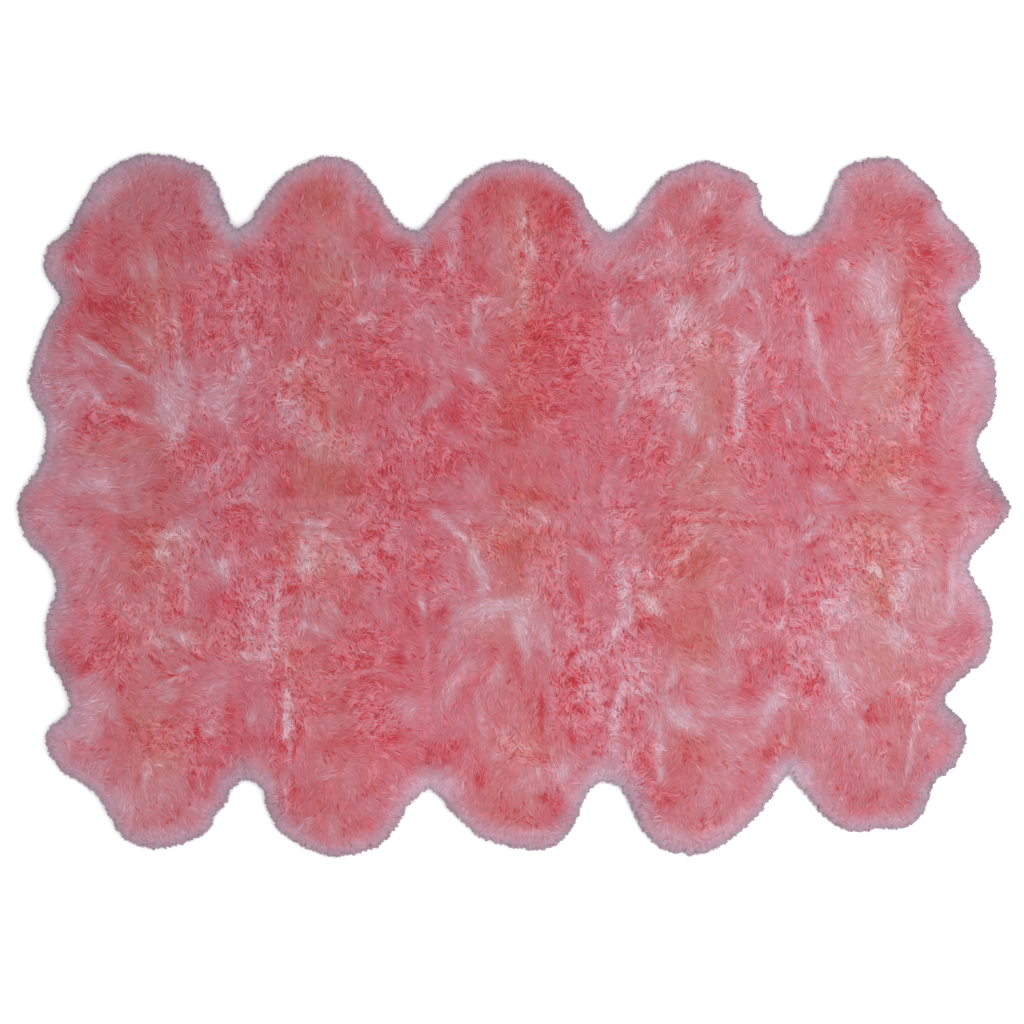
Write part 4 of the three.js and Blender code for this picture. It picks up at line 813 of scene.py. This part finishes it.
def dullness_and_shade(x, y):
    """How dull and dark each place is painted, from 0 for a clear red to 1: partly the dye, partly
    painted shade.
    """
    return np.clip(DULL_ALL_OVER + patches(DULL_AND_SHADE, x, y), 0, 1)


def dustiness(x, y):
    """How far the dye took browner: in patches, and along each pelt's middle, over the animal's back."""
    off_middle = (x + BACK_SPACING / 2) % BACK_SPACING - BACK_SPACING / 2
    return np.clip(patches(DUSTY, x, y) * 0.9 + 0.30 * np.exp(-(off_middle / BACK_WIDTH) ** 2), 0, 1)


def curliness(x, y):
    """How curly the wool is, from 0 where it was brushed smooth to 1."""
    curly = 0.33 + patches(CURLS, x, y) + 0.35 * drift(x, y, 90, 7) + 0.3 * drift(x, y, 35, 8)
    return np.clip(curly, 0, 1)


def opened(x, y):
    """Where slits of painted shade lie, for gaps where the wool stands open: mostly where it is curly or
    red, and in clusters.
    """
    cluster = 0.55 * drift(x, y, 45, 21) + 0.75 * drift(x, y, 9, 22)
    return cluster + 0.6 * curliness(x, y) - 0.35 * mark_tone(x, y) > OPENED


def pile_height(x, y):
    """The height of the lie of the pile: lower at the rim and in the seams, uneven elsewhere."""
    inside = look_up("inside", x, y)
    seam = look_up("seam", x, y)
    shoulder = np.sqrt(np.clip((inside + 2) / SHOULDER, 0, 1))
    dip = SEAM_DIP * (1 - ease(2, 20, seam))
    rolling = 2.5 * drift(x, y, 80, 9) + 1.5 * drift(x, y, 30, 10)
    rise = PILE_HEIGHT - PILE_UNEVENNESS - RIM_PILE
    return RIM_PILE + rise * shoulder + (rolling - dip) * shoulder


def scatter(spacing, seed):
    """Places all over the rug about spacing apart, evenly but not in rows."""
    rng = np.random.default_rng(SEED + seed)
    xs = np.arange(ground["xs"][0], ground["xs"][-1], spacing)
    ys = np.arange(ground["ys"][0], ground["ys"][-1], spacing * math.sqrt(3) / 2)
    x, y = np.meshgrid(xs, ys)
    x[1::2] += spacing / 2
    x = (x + rng.uniform(-0.4, 0.4, x.shape) * spacing).ravel()
    y = (y + rng.uniform(-0.4, 0.4, y.shape) * spacing).ravel()
    return x, y


def plant_staples(spacing, seed, low, high=1e9):
    """Places where tufts of wool grow from the skin, between two distances from the rim."""
    x, y = scatter(spacing, seed)
    inside = look_up("inside", x, y)
    keep = (inside > low) & (inside < high)
    return x[keep], y[keep]


def form_locks(x, y, kind, seed, rng):
    """Staples at x, y gather into locks. For each staple: how its lock grew, where that lock's tip is, and
    how near the staple is to the parting beside the lock."""
    middle_x, middle_y = scatter(kind["lock"], seed)
    tree = nearest(list(zip(middle_x, middle_y)))
    own = np.array([tree.find(Vector((place_x, place_y, 0)))[1] for place_x, place_y in zip(x, y)])
    brushed = brushed_way(middle_x, middle_y)[0]
    way = brushed + rng.normal(0, kind["lock_stray"], len(middle_x))
    bow = rng.normal(0, kind["bow"], len(middle_x))
    tone = rng.normal(0, 0.03, len(middle_x))
    gain = rng.uniform(0.7, 1.3, len(middle_x))
    tip_x = middle_x + 0.8 * kind["reach"] * np.cos(way)
    tip_y = middle_y + 0.8 * kind["reach"] * np.sin(way)
    off_middle = (y - middle_y[own]) * np.cos(way[own]) - (x - middle_x[own]) * np.sin(way[own])
    return {
        "turn": (way - brushed)[own], "bow": bow[own], "tone": tone[own], "gain": gain[own],
        "tip_x": tip_x[own], "tip_y": tip_y[own],
        "parted": np.clip(np.abs(off_middle) / (0.5 * kind["lock"]), 0, 1) ** 2,
    }


def clip_at_rim(root_x, root_y, tip_x, tip_y, rng):
    """Where tips end once the rim was clipped: none far past its outline, ragged from tuft to tuft."""
    root_inside = look_up("inside", root_x, root_y)
    tip_inside = look_up("inside", tip_x, tip_y)
    rim_x = tip_x + look_up("out_x", tip_x, tip_y) * tip_inside
    rim_y = tip_y + look_up("out_y", tip_x, tip_y) * tip_inside
    ragged = 7 * drift(rim_x, rim_y, 5, 17) + 2.5 * drift(rim_x, rim_y, 26, 19)
    edge = ragged + rng.normal(-3.4, 0.5, len(tip_x))
    room = np.clip((root_inside - edge) / np.maximum(root_inside - tip_inside, 1), 0.2, 1)
    room[tip_inside > edge] = 1
    return root_x + (tip_x - root_x) * room, root_y + (tip_y - root_y) * room


def grow_strands(x, y, kind, seed):
    """Wisps of wool for staples at x, y: their paths from the root to the tip, and how each one looks."""
    rng = np.random.default_rng(SEED + seed)
    count = kind["wisps"]
    n = len(x) * count
    staple = np.repeat(np.arange(len(x)), count)
    locks = form_locks(x, y, kind, seed + 1, rng)
    lock = {name: values[staple] for name, values in locks.items()}
    staple_way, lean = brushed_way(x, y)
    staple_way = staple_way + locks["turn"]
    lean = lean[staple]
    way = staple_way[staple] + rng.normal(0, kind["stray"], n) + rng.normal(0, 1, n) * (1 - lean) * 1.1
    spread = 0.6 * (RIM_STAPLE_SPACING if kind is RIM else STAPLE_SPACING)
    root_x = x[staple] + rng.normal(0, spread, n)
    root_y = y[staple] + rng.normal(0, spread, n)
    reach = kind["reach"] * rng.uniform(0.6, 1.2, n) * (0.6 + 0.4 * lean)
    if kind is RIM:
        # Clipped along the rim, so each wisp reaches about that far, wherever its root is.
        reach = np.clip(look_up("inside", root_x, root_y) + rng.normal(6, 3.5, n), 8, 60)
    level = rng.beta(3.0, 1.6, n)
    tip_x = root_x + np.cos(way) * reach
    tip_y = root_y + np.sin(way) * reach
    tip_x += (lock["tip_x"] - tip_x) * kind["gather"]
    tip_y += (lock["tip_y"] - tip_y) * kind["gather"]
    tip_x, tip_y = clip_at_rim(root_x, root_y, tip_x, tip_y, rng)
    sunk = (1 - level) * kind["loft"]
    root_z = pile_height(root_x, root_y) - kind["root_depth"] - sunk
    tip_z = pile_height(tip_x, tip_y) - kind["tip_depth"] - sunk
    # Over the rim the tips turn down towards the floor.
    over = 1 - ease(0, OVERHANG, look_up("inside", tip_x, tip_y))
    tip_z = tip_z * (1 - over) + over * (LOWEST_TIP + RIM_HEIGHT * level)
    loose = rng.random(n) < LOOSE_SHARE
    tip_z[loose] += rng.uniform(1, 5, loose.sum()) * (1 - over[loose])
    root = np.stack([root_x, root_y, root_z], axis=1)
    tip = np.stack([tip_x, tip_y, tip_z], axis=1)
    path = [root, tip]
    if kind["knees"]:
        sway = lock["bow"] + rng.normal(0, 1.0, n)
        knee_x = root_x * 0.5 + tip_x * 0.5 - np.sin(way) * sway
        knee_y = root_y * 0.5 + tip_y * 0.5 + np.cos(way) * sway
        knee_z = pile_height(knee_x, knee_y) - sunk
        path.insert(1, np.stack([knee_x, knee_y, knee_z], axis=1))
    gain = lock["gain"] * rng.uniform(0.35, 1.65, n)
    shown_x = root_x + (tip_x - root_x) * kind["shows"]
    shown_y = root_y + (tip_y - root_y) * kind["shows"]
    tone = mark_tone(shown_x, shown_y) * gain * (1 - kind["sharp"])
    # Redder towards the parting beside its lock: painted shade between the locks.
    tone += lock["tone"] - kind["parting"] * lock["parted"]
    tone += rng.normal(0, 0.05, len(x))[staple] + rng.normal(0, kind["speckle"], n)
    return {
        "path": np.stack(path, axis=1), "tone": tone, "dusty": dustiness(x, y)[staple],
        "pelt": look_up("pelt", x, y)[staple],
        "width": kind["width"] * rng.uniform(0.7, 1.25, n),
        "roll": rng.normal(0, 0.3, n), "rim_lilac_spread": rng.normal(0, 0.13, n), "gain": gain * kind["sharp"],
        "blunt": np.full(n, CLIPPED_TIP if kind is RIM else 0.0),
    }


def grow_tresses(kind, seed, keep):
    """Tresses over the rest of the wool, where keep says so for each place."""
    rng = np.random.default_rng(SEED + seed)
    x, y = scatter(kind["spacing"], seed + 1)
    kept = keep(x, y) & (look_up("inside", x, y) > kind["from_rim"])
    x = x[kept]
    y = y[kept]
    count = kind["strands"]
    n = len(x) * count
    tress = np.repeat(np.arange(len(x)), count)
    place = np.tile(np.arange(count) - (count - 1) / 2, len(x)) + rng.normal(0, 0.35, n)
    way, lean = brushed_way(x, y)
    way = (way + rng.normal(0, kind["stray"], len(x)))[tress] + rng.normal(0, 0.07, n)
    bow = kind["bow"] * np.sign(drift(x, y, 70, 18)) * rng.uniform(0.5, 1.3, len(x))
    bow = bow[tress] + rng.normal(0, 0.8, n)
    reach = kind["reach"] * (rng.uniform(0.75, 1.15, len(x)) * (0.6 + 0.4 * lean))[tress]
    forth_x = np.cos(way)
    forth_y = np.sin(way)
    ahead = rng.normal(0, 4, n)
    red = rng.random(n) < kind["red_share"]
    path = np.zeros((n, len(kind["steps"]), 3))
    for k, step in enumerate(kind["steps"]):
        along = (step - 0.5) * reach * np.where(red, 0.5, 1.0) + ahead
        aside = place * kind["apart"] * (1 - 0.6 * step) + bow * math.sin(math.pi * step)
        path[:, k, 0] = x[tress] + along * forth_x - aside * forth_y
        path[:, k, 1] = y[tress] + along * forth_y + aside * forth_x
        buried = 1.2 * (1 - step) ** 2 + 0.6 * step ** 3
        top = pile_height(path[:, k, 0], path[:, k, 1])
        path[:, k, 2] = top - buried + kind["above"] + rng.uniform(0, 0.4, n)
    gain = rng.uniform(0.35, 1.75, n)
    tone = mark_tone(path[:, 1, 0], path[:, 1, 1]) * gain * (1 - kind["sharp"]) + rng.normal(0, 0.07, n)
    redder = kind["red"] * rng.uniform(0.3, 1.1, n)
    paler = kind["pale"] * rng.uniform(0.3, 1.3, len(x))[tress]
    # Pale strands are a painted highlight, red ones painted shade of the partings.
    tone += np.where(red, redder, paler)
    strands = {
        "path": path, "tone": tone, "dusty": dustiness(x, y)[tress],
        "pelt": look_up("pelt", x, y)[tress],
        "width": kind["width"] * rng.uniform(0.7, 1.2, n) * np.where(red, 0.8, 1.0),
        "roll": rng.normal(0, 0.15, n), "rim_lilac_spread": rng.normal(0, 0.13, n), "gain": gain * kind["sharp"],
        "blunt": np.zeros(n),
    }
    within = look_up("inside", path[:, -1, 0], path[:, -1, 1]) > 10
    return {name: values[within] for name, values in strands.items()}


def grow_wool():
    """All the wisps of the rug, in groups that each grew in one way."""
    x, y = plant_staples(STAPLE_SPACING, 30, low=ROOTS_FROM)
    curly = curliness(x, y) > np.random.default_rng(SEED).uniform(0.35, 0.65, len(x))
    curly &= look_up("inside", x, y) > CURLY_FROM
    return [
        grow_strands(x[~curly], y[~curly], SMOOTH, 20),
        grow_strands(x[curly], y[curly], CURLY, 22),
        grow_strands(
            *plant_staples(RIM_STAPLE_SPACING, 31, low=ROOTS_FROM, high=SKIN_INSET + RIM_BAND), RIM, 24,
        ),
        grow_tresses(CURLED_TRESS, 26, lambda x, y: curliness(x, y) > CURLED),
        grow_tresses(SMOOTH_TRESS, 28, lambda x, y: curliness(x, y) <= CURLED),
        grow_tresses(SHADED_SLIT, 34, opened),
    ]


def gather(groups, pelt):
    """The strands of one pelt, from each of the groups that were grown."""
    return [{name: values[group["pelt"] == pelt] for name, values in group.items()} for group in groups]


def lie_normal(points):
    """The way the wool faces for its shading at each point: less sloped than the pile is."""
    x, y = points[:, 0], points[:, 1]
    reach = 4.0
    slope_x = TRANSLUCENCE * (pile_height(x + reach, y) - pile_height(x - reach, y)) / (2 * reach)
    slope_y = TRANSLUCENCE * (pile_height(x, y + reach) - pile_height(x, y - reach)) / (2 * reach)
    facing = np.stack([-slope_x, -slope_y, np.ones(len(x))], axis=1)
    return facing / np.linalg.norm(facing, axis=1, keepdims=True)


def ribbon_frames(path, roll):
    """Which way is across each ribbon and which way it faces, at each place along its path."""
    way = np.gradient(path, axis=1)
    way /= np.maximum(np.linalg.norm(way, axis=2, keepdims=True), 1e-6)
    flat = np.stack([-way[:, :, 1], way[:, :, 0], np.zeros(way.shape[:2])], axis=2)
    flat /= np.maximum(np.linalg.norm(flat, axis=2, keepdims=True), 1e-6)
    upright = np.cross(way, flat)
    roll = roll[:, None, None]
    side = flat * np.cos(roll) + upright * np.sin(roll)
    facing = upright * np.cos(roll) - flat * np.sin(roll)
    return side, facing


def wisp_colours(strands, corners, along):
    """How pale, dusty, grey-lilac and dull each corner is painted: the dye's tone, painted sheen and
    shade.
    """
    shape = (len(strands["path"]), len(along))
    x, y = corners[:, 0], corners[:, 1]
    marks = mark_tone(x, y).reshape(shape) * strands["gain"][:, None]
    colours = np.zeros((*shape, 4))
    # Redder towards the root: painted shade of the pile's depth.
    colours[:, :, 0] = 0.5 + 0.5 * (strands["tone"][:, None] + marks - DEPTH_SHADE_REDNESS * (1 - along))
    colours[:, :, 1] = strands["dusty"][:, None]
    colours[:, :, 2] = rim_tint(corners).reshape(shape)
    # Each wisp's own spread of the rim's grey-lilac, partly painted shade.
    colours[:, :, 2] += strands["rim_lilac_spread"][:, None] * (colours[:, :, 2] > 0)
    colours[:, :, 3] = dullness_and_shade(x, y).reshape(shape)
    return np.clip(colours.reshape(-1, 4), 0, 1)


def ribbons(strands, first):
    """Flat ribbons along the strands' paths, as corners, faces, colours, normals and each corner's place
    on its ribbon. Where a ribbon is pointed it has one corner, and elsewhere a right and a left one."""
    path = strands["path"]
    n, levels = path.shape[:2]
    side, facing = ribbon_frames(path, strands["roll"])
    corners, normals, along, across, edges = [], [], [], [], []
    for k, fullness in enumerate(FULLNESS[levels]):
        wide = strands["width"] * (fullness if k < levels - 1 else strands["blunt"])
        sides = (-1, 1) if wide.any() else (0,)
        edges.append((len(corners), len(corners) + len(sides) - 1))
        for which in sides:
            corners.append(path[:, k] + which * side[:, k] * wide[:, None] / 2)
            normals.append(facing[:, k])
            along.append(k / (levels - 1))
            across.append(0.5 + 0.3 * which)
    base = first + np.arange(n)[:, None] * len(corners)
    faces = []
    for (right, left), (next_right, next_left) in zip(edges, edges[1:]):
        turn = [right, next_right] + [next_left] * (next_left != next_right) + [left] * (left != right)
        faces.append(base + np.array([turn]))
    along = np.array(along)
    corners = np.stack(corners, axis=1).reshape(-1, 3)
    own_normals = np.stack(normals, axis=1).reshape(-1, 3)
    normals = own_normals * (1 - SOFTNESS) + lie_normal(corners) * SOFTNESS
    normals /= np.linalg.norm(normals, axis=1, keepdims=True)
    places = np.stack([np.array(across), along], axis=1)
    return corners, faces, wisp_colours(strands, corners, along), normals, places


def underwool(pelt):
    """The dense wool below the tips of one pelt, as corners and square faces of an uneven sheet."""
    xs = np.arange(ground["xs"][0], ground["xs"][-1], UNDERWOOL_STEP)
    ys = np.arange(ground["ys"][0], ground["ys"][-1], UNDERWOOL_STEP)
    x, y = np.meshgrid(xs, ys)
    inside = look_up("inside", x, y)
    edge = SKIN_INSET - 2
    short = np.clip(edge - inside, 0, UNDERWOOL_STEP)
    x = x - look_up("out_x", x, y) * short
    y = y - look_up("out_y", x, y) * short
    curly = curliness(x, y)
    z = pile_height(x, y) - UNDERWOOL_DEPTH["smooth"] * (1 - curly) - UNDERWOOL_DEPTH["curly"] * curly
    z = np.where(inside < edge, SKIN_TOP, z)
    used = (look_up("pelt", x, y) == pelt) & (inside > edge - UNDERWOOL_STEP)
    number = np.full(x.shape, -1)
    cells = used[:-1, :-1] & (inside[1:, 1:] > edge - UNDERWOOL_STEP)
    cells &= (inside[1:, :-1] > edge - UNDERWOOL_STEP) & (inside[:-1, 1:] > edge - UNDERWOOL_STEP)
    rows, columns = np.nonzero(cells)
    needed = np.zeros(x.shape, bool)
    for dj in (0, 1):
        for di in (0, 1):
            needed[rows + dj, columns + di] = True
    number[needed] = np.arange(needed.sum())
    corners = np.stack([x[needed], y[needed], z[needed]], axis=1)
    faces = np.stack([
        number[rows, columns], number[rows, columns + 1],
        number[rows + 1, columns + 1], number[rows + 1, columns],
    ], axis=1)
    return corners, faces


def build_mesh(name, corners, faces, colours, normals, maps, material):
    """A mesh from arrays: corners in millimetres, and faces in groups of the same number of sides."""
    mesh = bpy.data.meshes.new(name)
    loops = np.concatenate([group.ravel() for group in faces])
    totals = np.concatenate([np.full(len(group), group.shape[1]) for group in faces])
    starts = np.concatenate([[0], np.cumsum(totals)[:-1]])
    mesh.vertices.add(len(corners))
    mesh.vertices.foreach_set("co", (corners * MM).astype(np.float32).ravel())
    mesh.loops.add(len(loops))
    mesh.loops.foreach_set("vertex_index", loops.astype(np.int32))
    mesh.polygons.add(len(totals))
    mesh.polygons.foreach_set("loop_start", starts.astype(np.int32))
    mesh.polygons.foreach_set("loop_total", totals.astype(np.int32))
    mesh.polygons.foreach_set("use_smooth", np.ones(len(totals), bool))
    mesh.update(calc_edges=True)
    layer = mesh.attributes.new("wool", "FLOAT_COLOR", "POINT")
    layer.data.foreach_set("color", colours.astype(np.float32).ravel())
    bake = mesh.uv_layers.new(name="OFBake")
    bake.data.foreach_set("uv", maps[loops].astype(np.float32).ravel())
    mesh.normals_split_custom_set_from_vertices(normals.tolist())
    mesh.materials.append(material)
    return mesh


def rim_tint(points):
    """How far the grey-lilac of the brushed-out rim has come over the wool at each point, 0 to 1. It is
    partly painted shade, where the rim's wool turns down out of the light.
    """
    x, y = points[:, 0], points[:, 1]
    width = RIM_LILAC_WIDTH + 20 * drift(x, y, 90, 16) + 60 * patches(RIM_LILAC_REACH, x, y)
    return 1 - np.clip(look_up("inside", x, y) / width, 0, 1)


def map_cells(numbers, total, places):
    """The wisps' corners on the UV map OFBake, where each wisp has a cell of its own."""
    columns = int(math.sqrt(total * 2.1))
    rows = math.ceil(total / columns)
    cell = np.array([1 / columns, (1 - UNDERWOOL_SHARE) / rows])
    start = np.stack([numbers % columns, numbers // columns], axis=1) * cell + [0, UNDERWOOL_SHARE]
    return (start[:, None, :] + (0.1 + 0.8 * places[None, :, :]) * cell).reshape(-1, 2)


def wool_piece(name, pelt, groups, material):
    """All the wool of one pelt as one mesh: its dense underwool and the wisps that stand out of it."""
    corners, squares = underwool(pelt)
    start = corners[:, :2].min(0)
    span = (corners[:, :2].max(0) - start) / [0.99, UNDERWOOL_SHARE * 0.99]
    colours = np.zeros((len(corners), 4))
    x, y = corners[:, 0], corners[:, 1]
    # The underwool is painted redder still, more where the wool is curly: painted shade of its depth in
    # the pile.
    colours[:, 0] = np.clip(0.5 + 0.5 * (mark_tone(x, y) - DEPTH_SHADE_REDNESS - 0.2 * curliness(x, y)), 0, 1)
    colours[:, 1] = dustiness(x, y)
    colours[:, 2] = rim_tint(corners) * 0.8
    colours[:, 3] = dullness_and_shade(x, y)
    parts = [(corners, [squares], colours, lie_normal(corners), (corners[:, :2] - start) / span)]
    first = len(corners)
    own = gather(groups, pelt)
    total = sum(len(group["path"]) for group in own)
    done = 0
    for group in own:
        corners, faces, colours, normals, places = ribbons(group, first)
        numbers = done + np.arange(len(group["path"]))
        parts.append((corners, faces, colours, normals, map_cells(numbers, total, places)))
        first += len(corners)
        done += len(numbers)
    corners, faces, colours, normals, places = zip(*parts)
    mesh = build_mesh(
        name, np.concatenate(corners), [face for group in faces for face in group],
        np.concatenate(colours), np.concatenate(normals), np.concatenate(places), material,
    )
    piece = bpy.data.objects.new(name, mesh)
    bpy.context.scene.collection.objects.link(piece)
    return piece


def skin_outline(node):
    """The cut edge of one pelt's skin, in order: the border of its solid's flat underside."""
    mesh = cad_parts[node].data
    places = {}
    uses = {}
    for face in mesh.polygons:
        corners = [tuple(round(c, 2) for c in mesh.vertices[i].co / MM) for i in face.vertices]
        if all(corner[2] < 0.1 for corner in corners):
            for a, b in zip(corners, corners[1:] + corners[:1]):
                uses[(a, b)] = True
    for a, b in uses:
        if (b, a) not in uses:
            places[a] = b
    start = next(iter(places))
    ring = [start]
    while places[ring[-1]] != start:
        ring.append(places[ring[-1]])
    return ring


def hide_piece(name, node, material):
    """The tanned skin of one pelt: a closed sheet with its suede side down."""
    ring = skin_outline(node)
    count = len(ring)
    corners = [(x * MM, y * MM, 0) for x, y, _ in ring]
    corners += [(x * MM, y * MM, SKIN_THICKNESS * MM) for x, y, _ in ring]
    faces = [tuple(range(count)), tuple(range(2 * count - 1, count - 1, -1))]
    for i in range(count):
        j = (i + 1) % count
        faces.append((j, i, i + count, j + count))
    mesh = bpy.data.meshes.new(name)
    mesh.from_pydata(corners, [], faces)
    mesh.materials.append(material)
    piece = bpy.data.objects.new(name, mesh)
    bpy.context.scene.collection.objects.link(piece)
    return piece, ring


# ---- materials ----

def dyed_wool():
    """Long wool, washed, dyed and brushed: matt, soft and coral red, painted redder in its depth as
    painted shade, with painted highlights where its tips catch the light, and a greyish lilac at the rim,
    partly painted shade."""
    material = bpy.data.materials.new("dyed_wool")
    material.use_nodes = True
    tree = material.node_tree
    tree.nodes.clear()
    wool = add_node(tree, "ShaderNodeAttribute", {"attribute_name": "wool"})
    parts = add_node(tree, "ShaderNodeSeparateColor", links={"Color": wool.outputs["Color"]})
    coral = add_node(
        tree, "ShaderNodeValToRGB", links={"Fac": parts.outputs["Red"]},
        stops=[
            (0.0, from_srgb("#ad272f")), (0.12, from_srgb("#b73b48")), (0.25, from_srgb("#bc4f5c")),
            (0.5, from_srgb("#bd707d")), (0.75, from_srgb("#c08b98")), (1.0, from_srgb("#c59eac")),
        ],
    )
    salmon = add_node(
        tree, "ShaderNodeValToRGB", links={"Fac": parts.outputs["Red"]},
        stops=[
            (0.0, from_srgb("#b5423f")), (0.5, from_srgb("#ba746d")), (0.75, from_srgb("#c18c8b")),
            (1.0, from_srgb("#c79fa3")),
        ],
    )
    salmon_share = add_node(
        tree, "ShaderNodeMapRange", {"clamp": True}, values={"To Max": 0.7},
        links={"Value": parts.outputs["Green"]},
    )
    dyed = add_node(
        tree, "ShaderNodeMix", {"data_type": "RGBA"},
        links={
            "Factor_Float": salmon_share.outputs[0],
            "A_Color": coral.outputs[0], "B_Color": salmon.outputs[0],
        },
    )
    # The rim's grey-lilac, greyest at the very edge: partly painted shade where the wool turns down out of
    # the light.
    rim_lilac_deep = add_node(
        tree, "ShaderNodeValToRGB", links={"Fac": parts.outputs["Blue"]},
        stops=[
            (0.4, from_srgb("#b5727f")), (0.68, from_srgb("#a86e7d")), (0.85, from_srgb("#9c707e")),
            (1.0, from_srgb("#937b85")),
        ],
    )
    rim_lilac_pale = add_node(
        tree, "ShaderNodeValToRGB", links={"Fac": parts.outputs["Blue"]},
        stops=[
            (0.4, from_srgb("#ca99a8")), (0.68, from_srgb("#c096a6")), (0.85, from_srgb("#ba97a6")),
            (1.0, from_srgb("#b199a5")),
        ],
    )
    rim_lilac = add_node(
        tree, "ShaderNodeMix", {"data_type": "RGBA"},
        links={
            "Factor_Float": parts.outputs["Red"], "A_Color": rim_lilac_deep.outputs[0],
            "B_Color": rim_lilac_pale.outputs[0],
        },
    )
    at_rim = add_node(
        tree, "ShaderNodeMapRange", {"clamp": True, "interpolation_type": "SMOOTHSTEP"},
        values={"From Min": 0.1, "From Max": 0.8}, links={"Value": parts.outputs["Blue"]},
    )
    rimmed = add_node(
        tree, "ShaderNodeMix", {"data_type": "RGBA"},
        links={
            "Factor_Float": at_rim.outputs[0],
            "A_Color": dyed.outputs[2], "B_Color": rim_lilac.outputs[2],
        },
    )
    # Duller and darker where the wool's Alpha says: partly the dye, partly painted shade.
    dulled_and_shaded = add_node(
        tree, "ShaderNodeMix", {"data_type": "RGBA", "blend_type": "MULTIPLY"},
        values={"B_Color": from_srgb("#ebfdfd")},
        links={"Factor_Float": wool.outputs["Alpha"], "A_Color": rimmed.outputs[2]},
    )
    shader = add_node(
        tree, "ShaderNodeBsdfPrincipled",
        values={"Roughness": 0.85, "IOR": 1.55, "Specular IOR Level": 0.2, "Sheen Weight": 0.15},
        links={"Base Color": dulled_and_shaded.outputs[2]},
    )
    add_node(tree, "ShaderNodeOutputMaterial", links={"Surface": shader.outputs["BSDF"]})
    return material


def tanned_skin():
    """Sheepskin, tanned and buffed to suede on its flesh side: matt, mottled and tinged pink."""
    material = bpy.data.materials.new("tanned_skin")
    material.use_nodes = True
    tree = material.node_tree
    tree.nodes.clear()
    mottle_size = 0.05
    nap_size = 0.002
    place = add_node(tree, "ShaderNodeTexCoord")
    mottle = add_node(
        tree, "ShaderNodeTexNoise", values={"Scale": 1 / mottle_size, "Detail": 5.0},
        links={"Vector": place.outputs["Object"]},
    )
    colour = add_node(
        tree, "ShaderNodeValToRGB", links={"Fac": mottle.outputs["Fac"]},
        stops=[(0.3, from_srgb("#b69183")), (0.7, from_srgb("#c4a69a"))],
    )
    nap = add_node(
        tree, "ShaderNodeTexNoise", values={"Scale": 1 / nap_size, "Detail": 3.0},
        links={"Vector": place.outputs["Object"]},
    )
    bump = add_node(
        tree, "ShaderNodeBump", values={"Strength": 0.3, "Distance": 0.0004},
        links={"Height": nap.outputs["Fac"]},
    )
    shader = add_node(
        tree, "ShaderNodeBsdfPrincipled",
        values={"Roughness": 0.9, "IOR": 1.5, "Sheen Weight": 0.2},
        links={"Base Color": colour.outputs["Color"], "Normal": bump.outputs["Normal"]},
    )
    add_node(tree, "ShaderNodeOutputMaterial", links={"Surface": shader.outputs["BSDF"]})
    return material


def studio_paper():
    """White background paper, smooth and matt, that the rug lies on."""
    material = bpy.data.materials.new("studio_paper")
    material.use_nodes = True
    shader = material.node_tree.nodes["Principled BSDF"]
    shader.inputs["Base Color"].default_value = from_srgb("#f6f6f6")
    shader.inputs["Roughness"].default_value = 0.9
    shader.inputs["Specular IOR Level"].default_value = 0.1
    return material


# ---- studio ----

def lay_floor():
    """A wide square of the studio's paper, a hair below the rug."""
    mesh = bpy.data.meshes.new("studio_floor")
    half = 12.0
    corners = [(-half, -half, 0), (half, -half, 0), (half, half, 0), (-half, half, 0)]
    mesh.from_pydata(corners, [], [(0, 1, 2, 3)])
    mesh.materials.append(studio_paper())
    floor = bpy.data.objects.new("studio_floor", mesh)
    floor.location.z = -0.0005
    bpy.context.scene.collection.objects.link(floor)


def soft_lights():
    """A large soft box high over the rug and an even white surround."""
    world = bpy.data.worlds.new("studio")
    world.use_nodes = True
    background = world.node_tree.nodes["Background"]
    background.inputs["Color"].default_value = (1, 1, 1, 1)
    background.inputs["Strength"].default_value = 1.12
    bpy.context.scene.world = world
    box = bpy.data.lights.new("soft_box", "AREA")
    box.shape = "RECTANGLE"
    box.size = 4.5
    box.size_y = 4.5
    box.energy = 98
    lamp = bpy.data.objects.new("soft_box", box)
    lamp.location = (2.1, -0.8, 3.2)
    lamp.rotation_euler = (-lamp.location).to_track_quat("-Z", "Y").to_euler()
    bpy.context.scene.collection.objects.link(lamp)


def overhead_camera():
    """Straight down from high above, through a long lens."""
    lens = bpy.data.cameras.new("overhead")
    lens.lens = 85
    lens.clip_end = 50
    camera = bpy.data.objects.new("overhead", lens)
    width_seen = 2.7136
    height = PILE_HEIGHT * MM + width_seen * lens.lens / lens.sensor_width
    camera.location = (-0.006, -0.019, height)
    bpy.context.scene.collection.objects.link(camera)
    bpy.context.scene.camera = camera


overhead_camera()
soft_lights()
lay_floor()
bpy.context.scene.view_settings.view_transform = "Standard"

ground = survey_ground()
wool = dyed_wool()
skin = tanned_skin()
groups = grow_wool()
for index, pelt_name in enumerate(PELTS):
    short = pelt_name.removeprefix("pelt_")
    fleece = wool_piece(f"wool_{short}", index, groups, wool)
    hide, cut = hide_piece(f"hide_{short}", pelt_name, skin)
    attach(fleece, "root")
    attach(hide, "root")
    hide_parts(pelt_name)
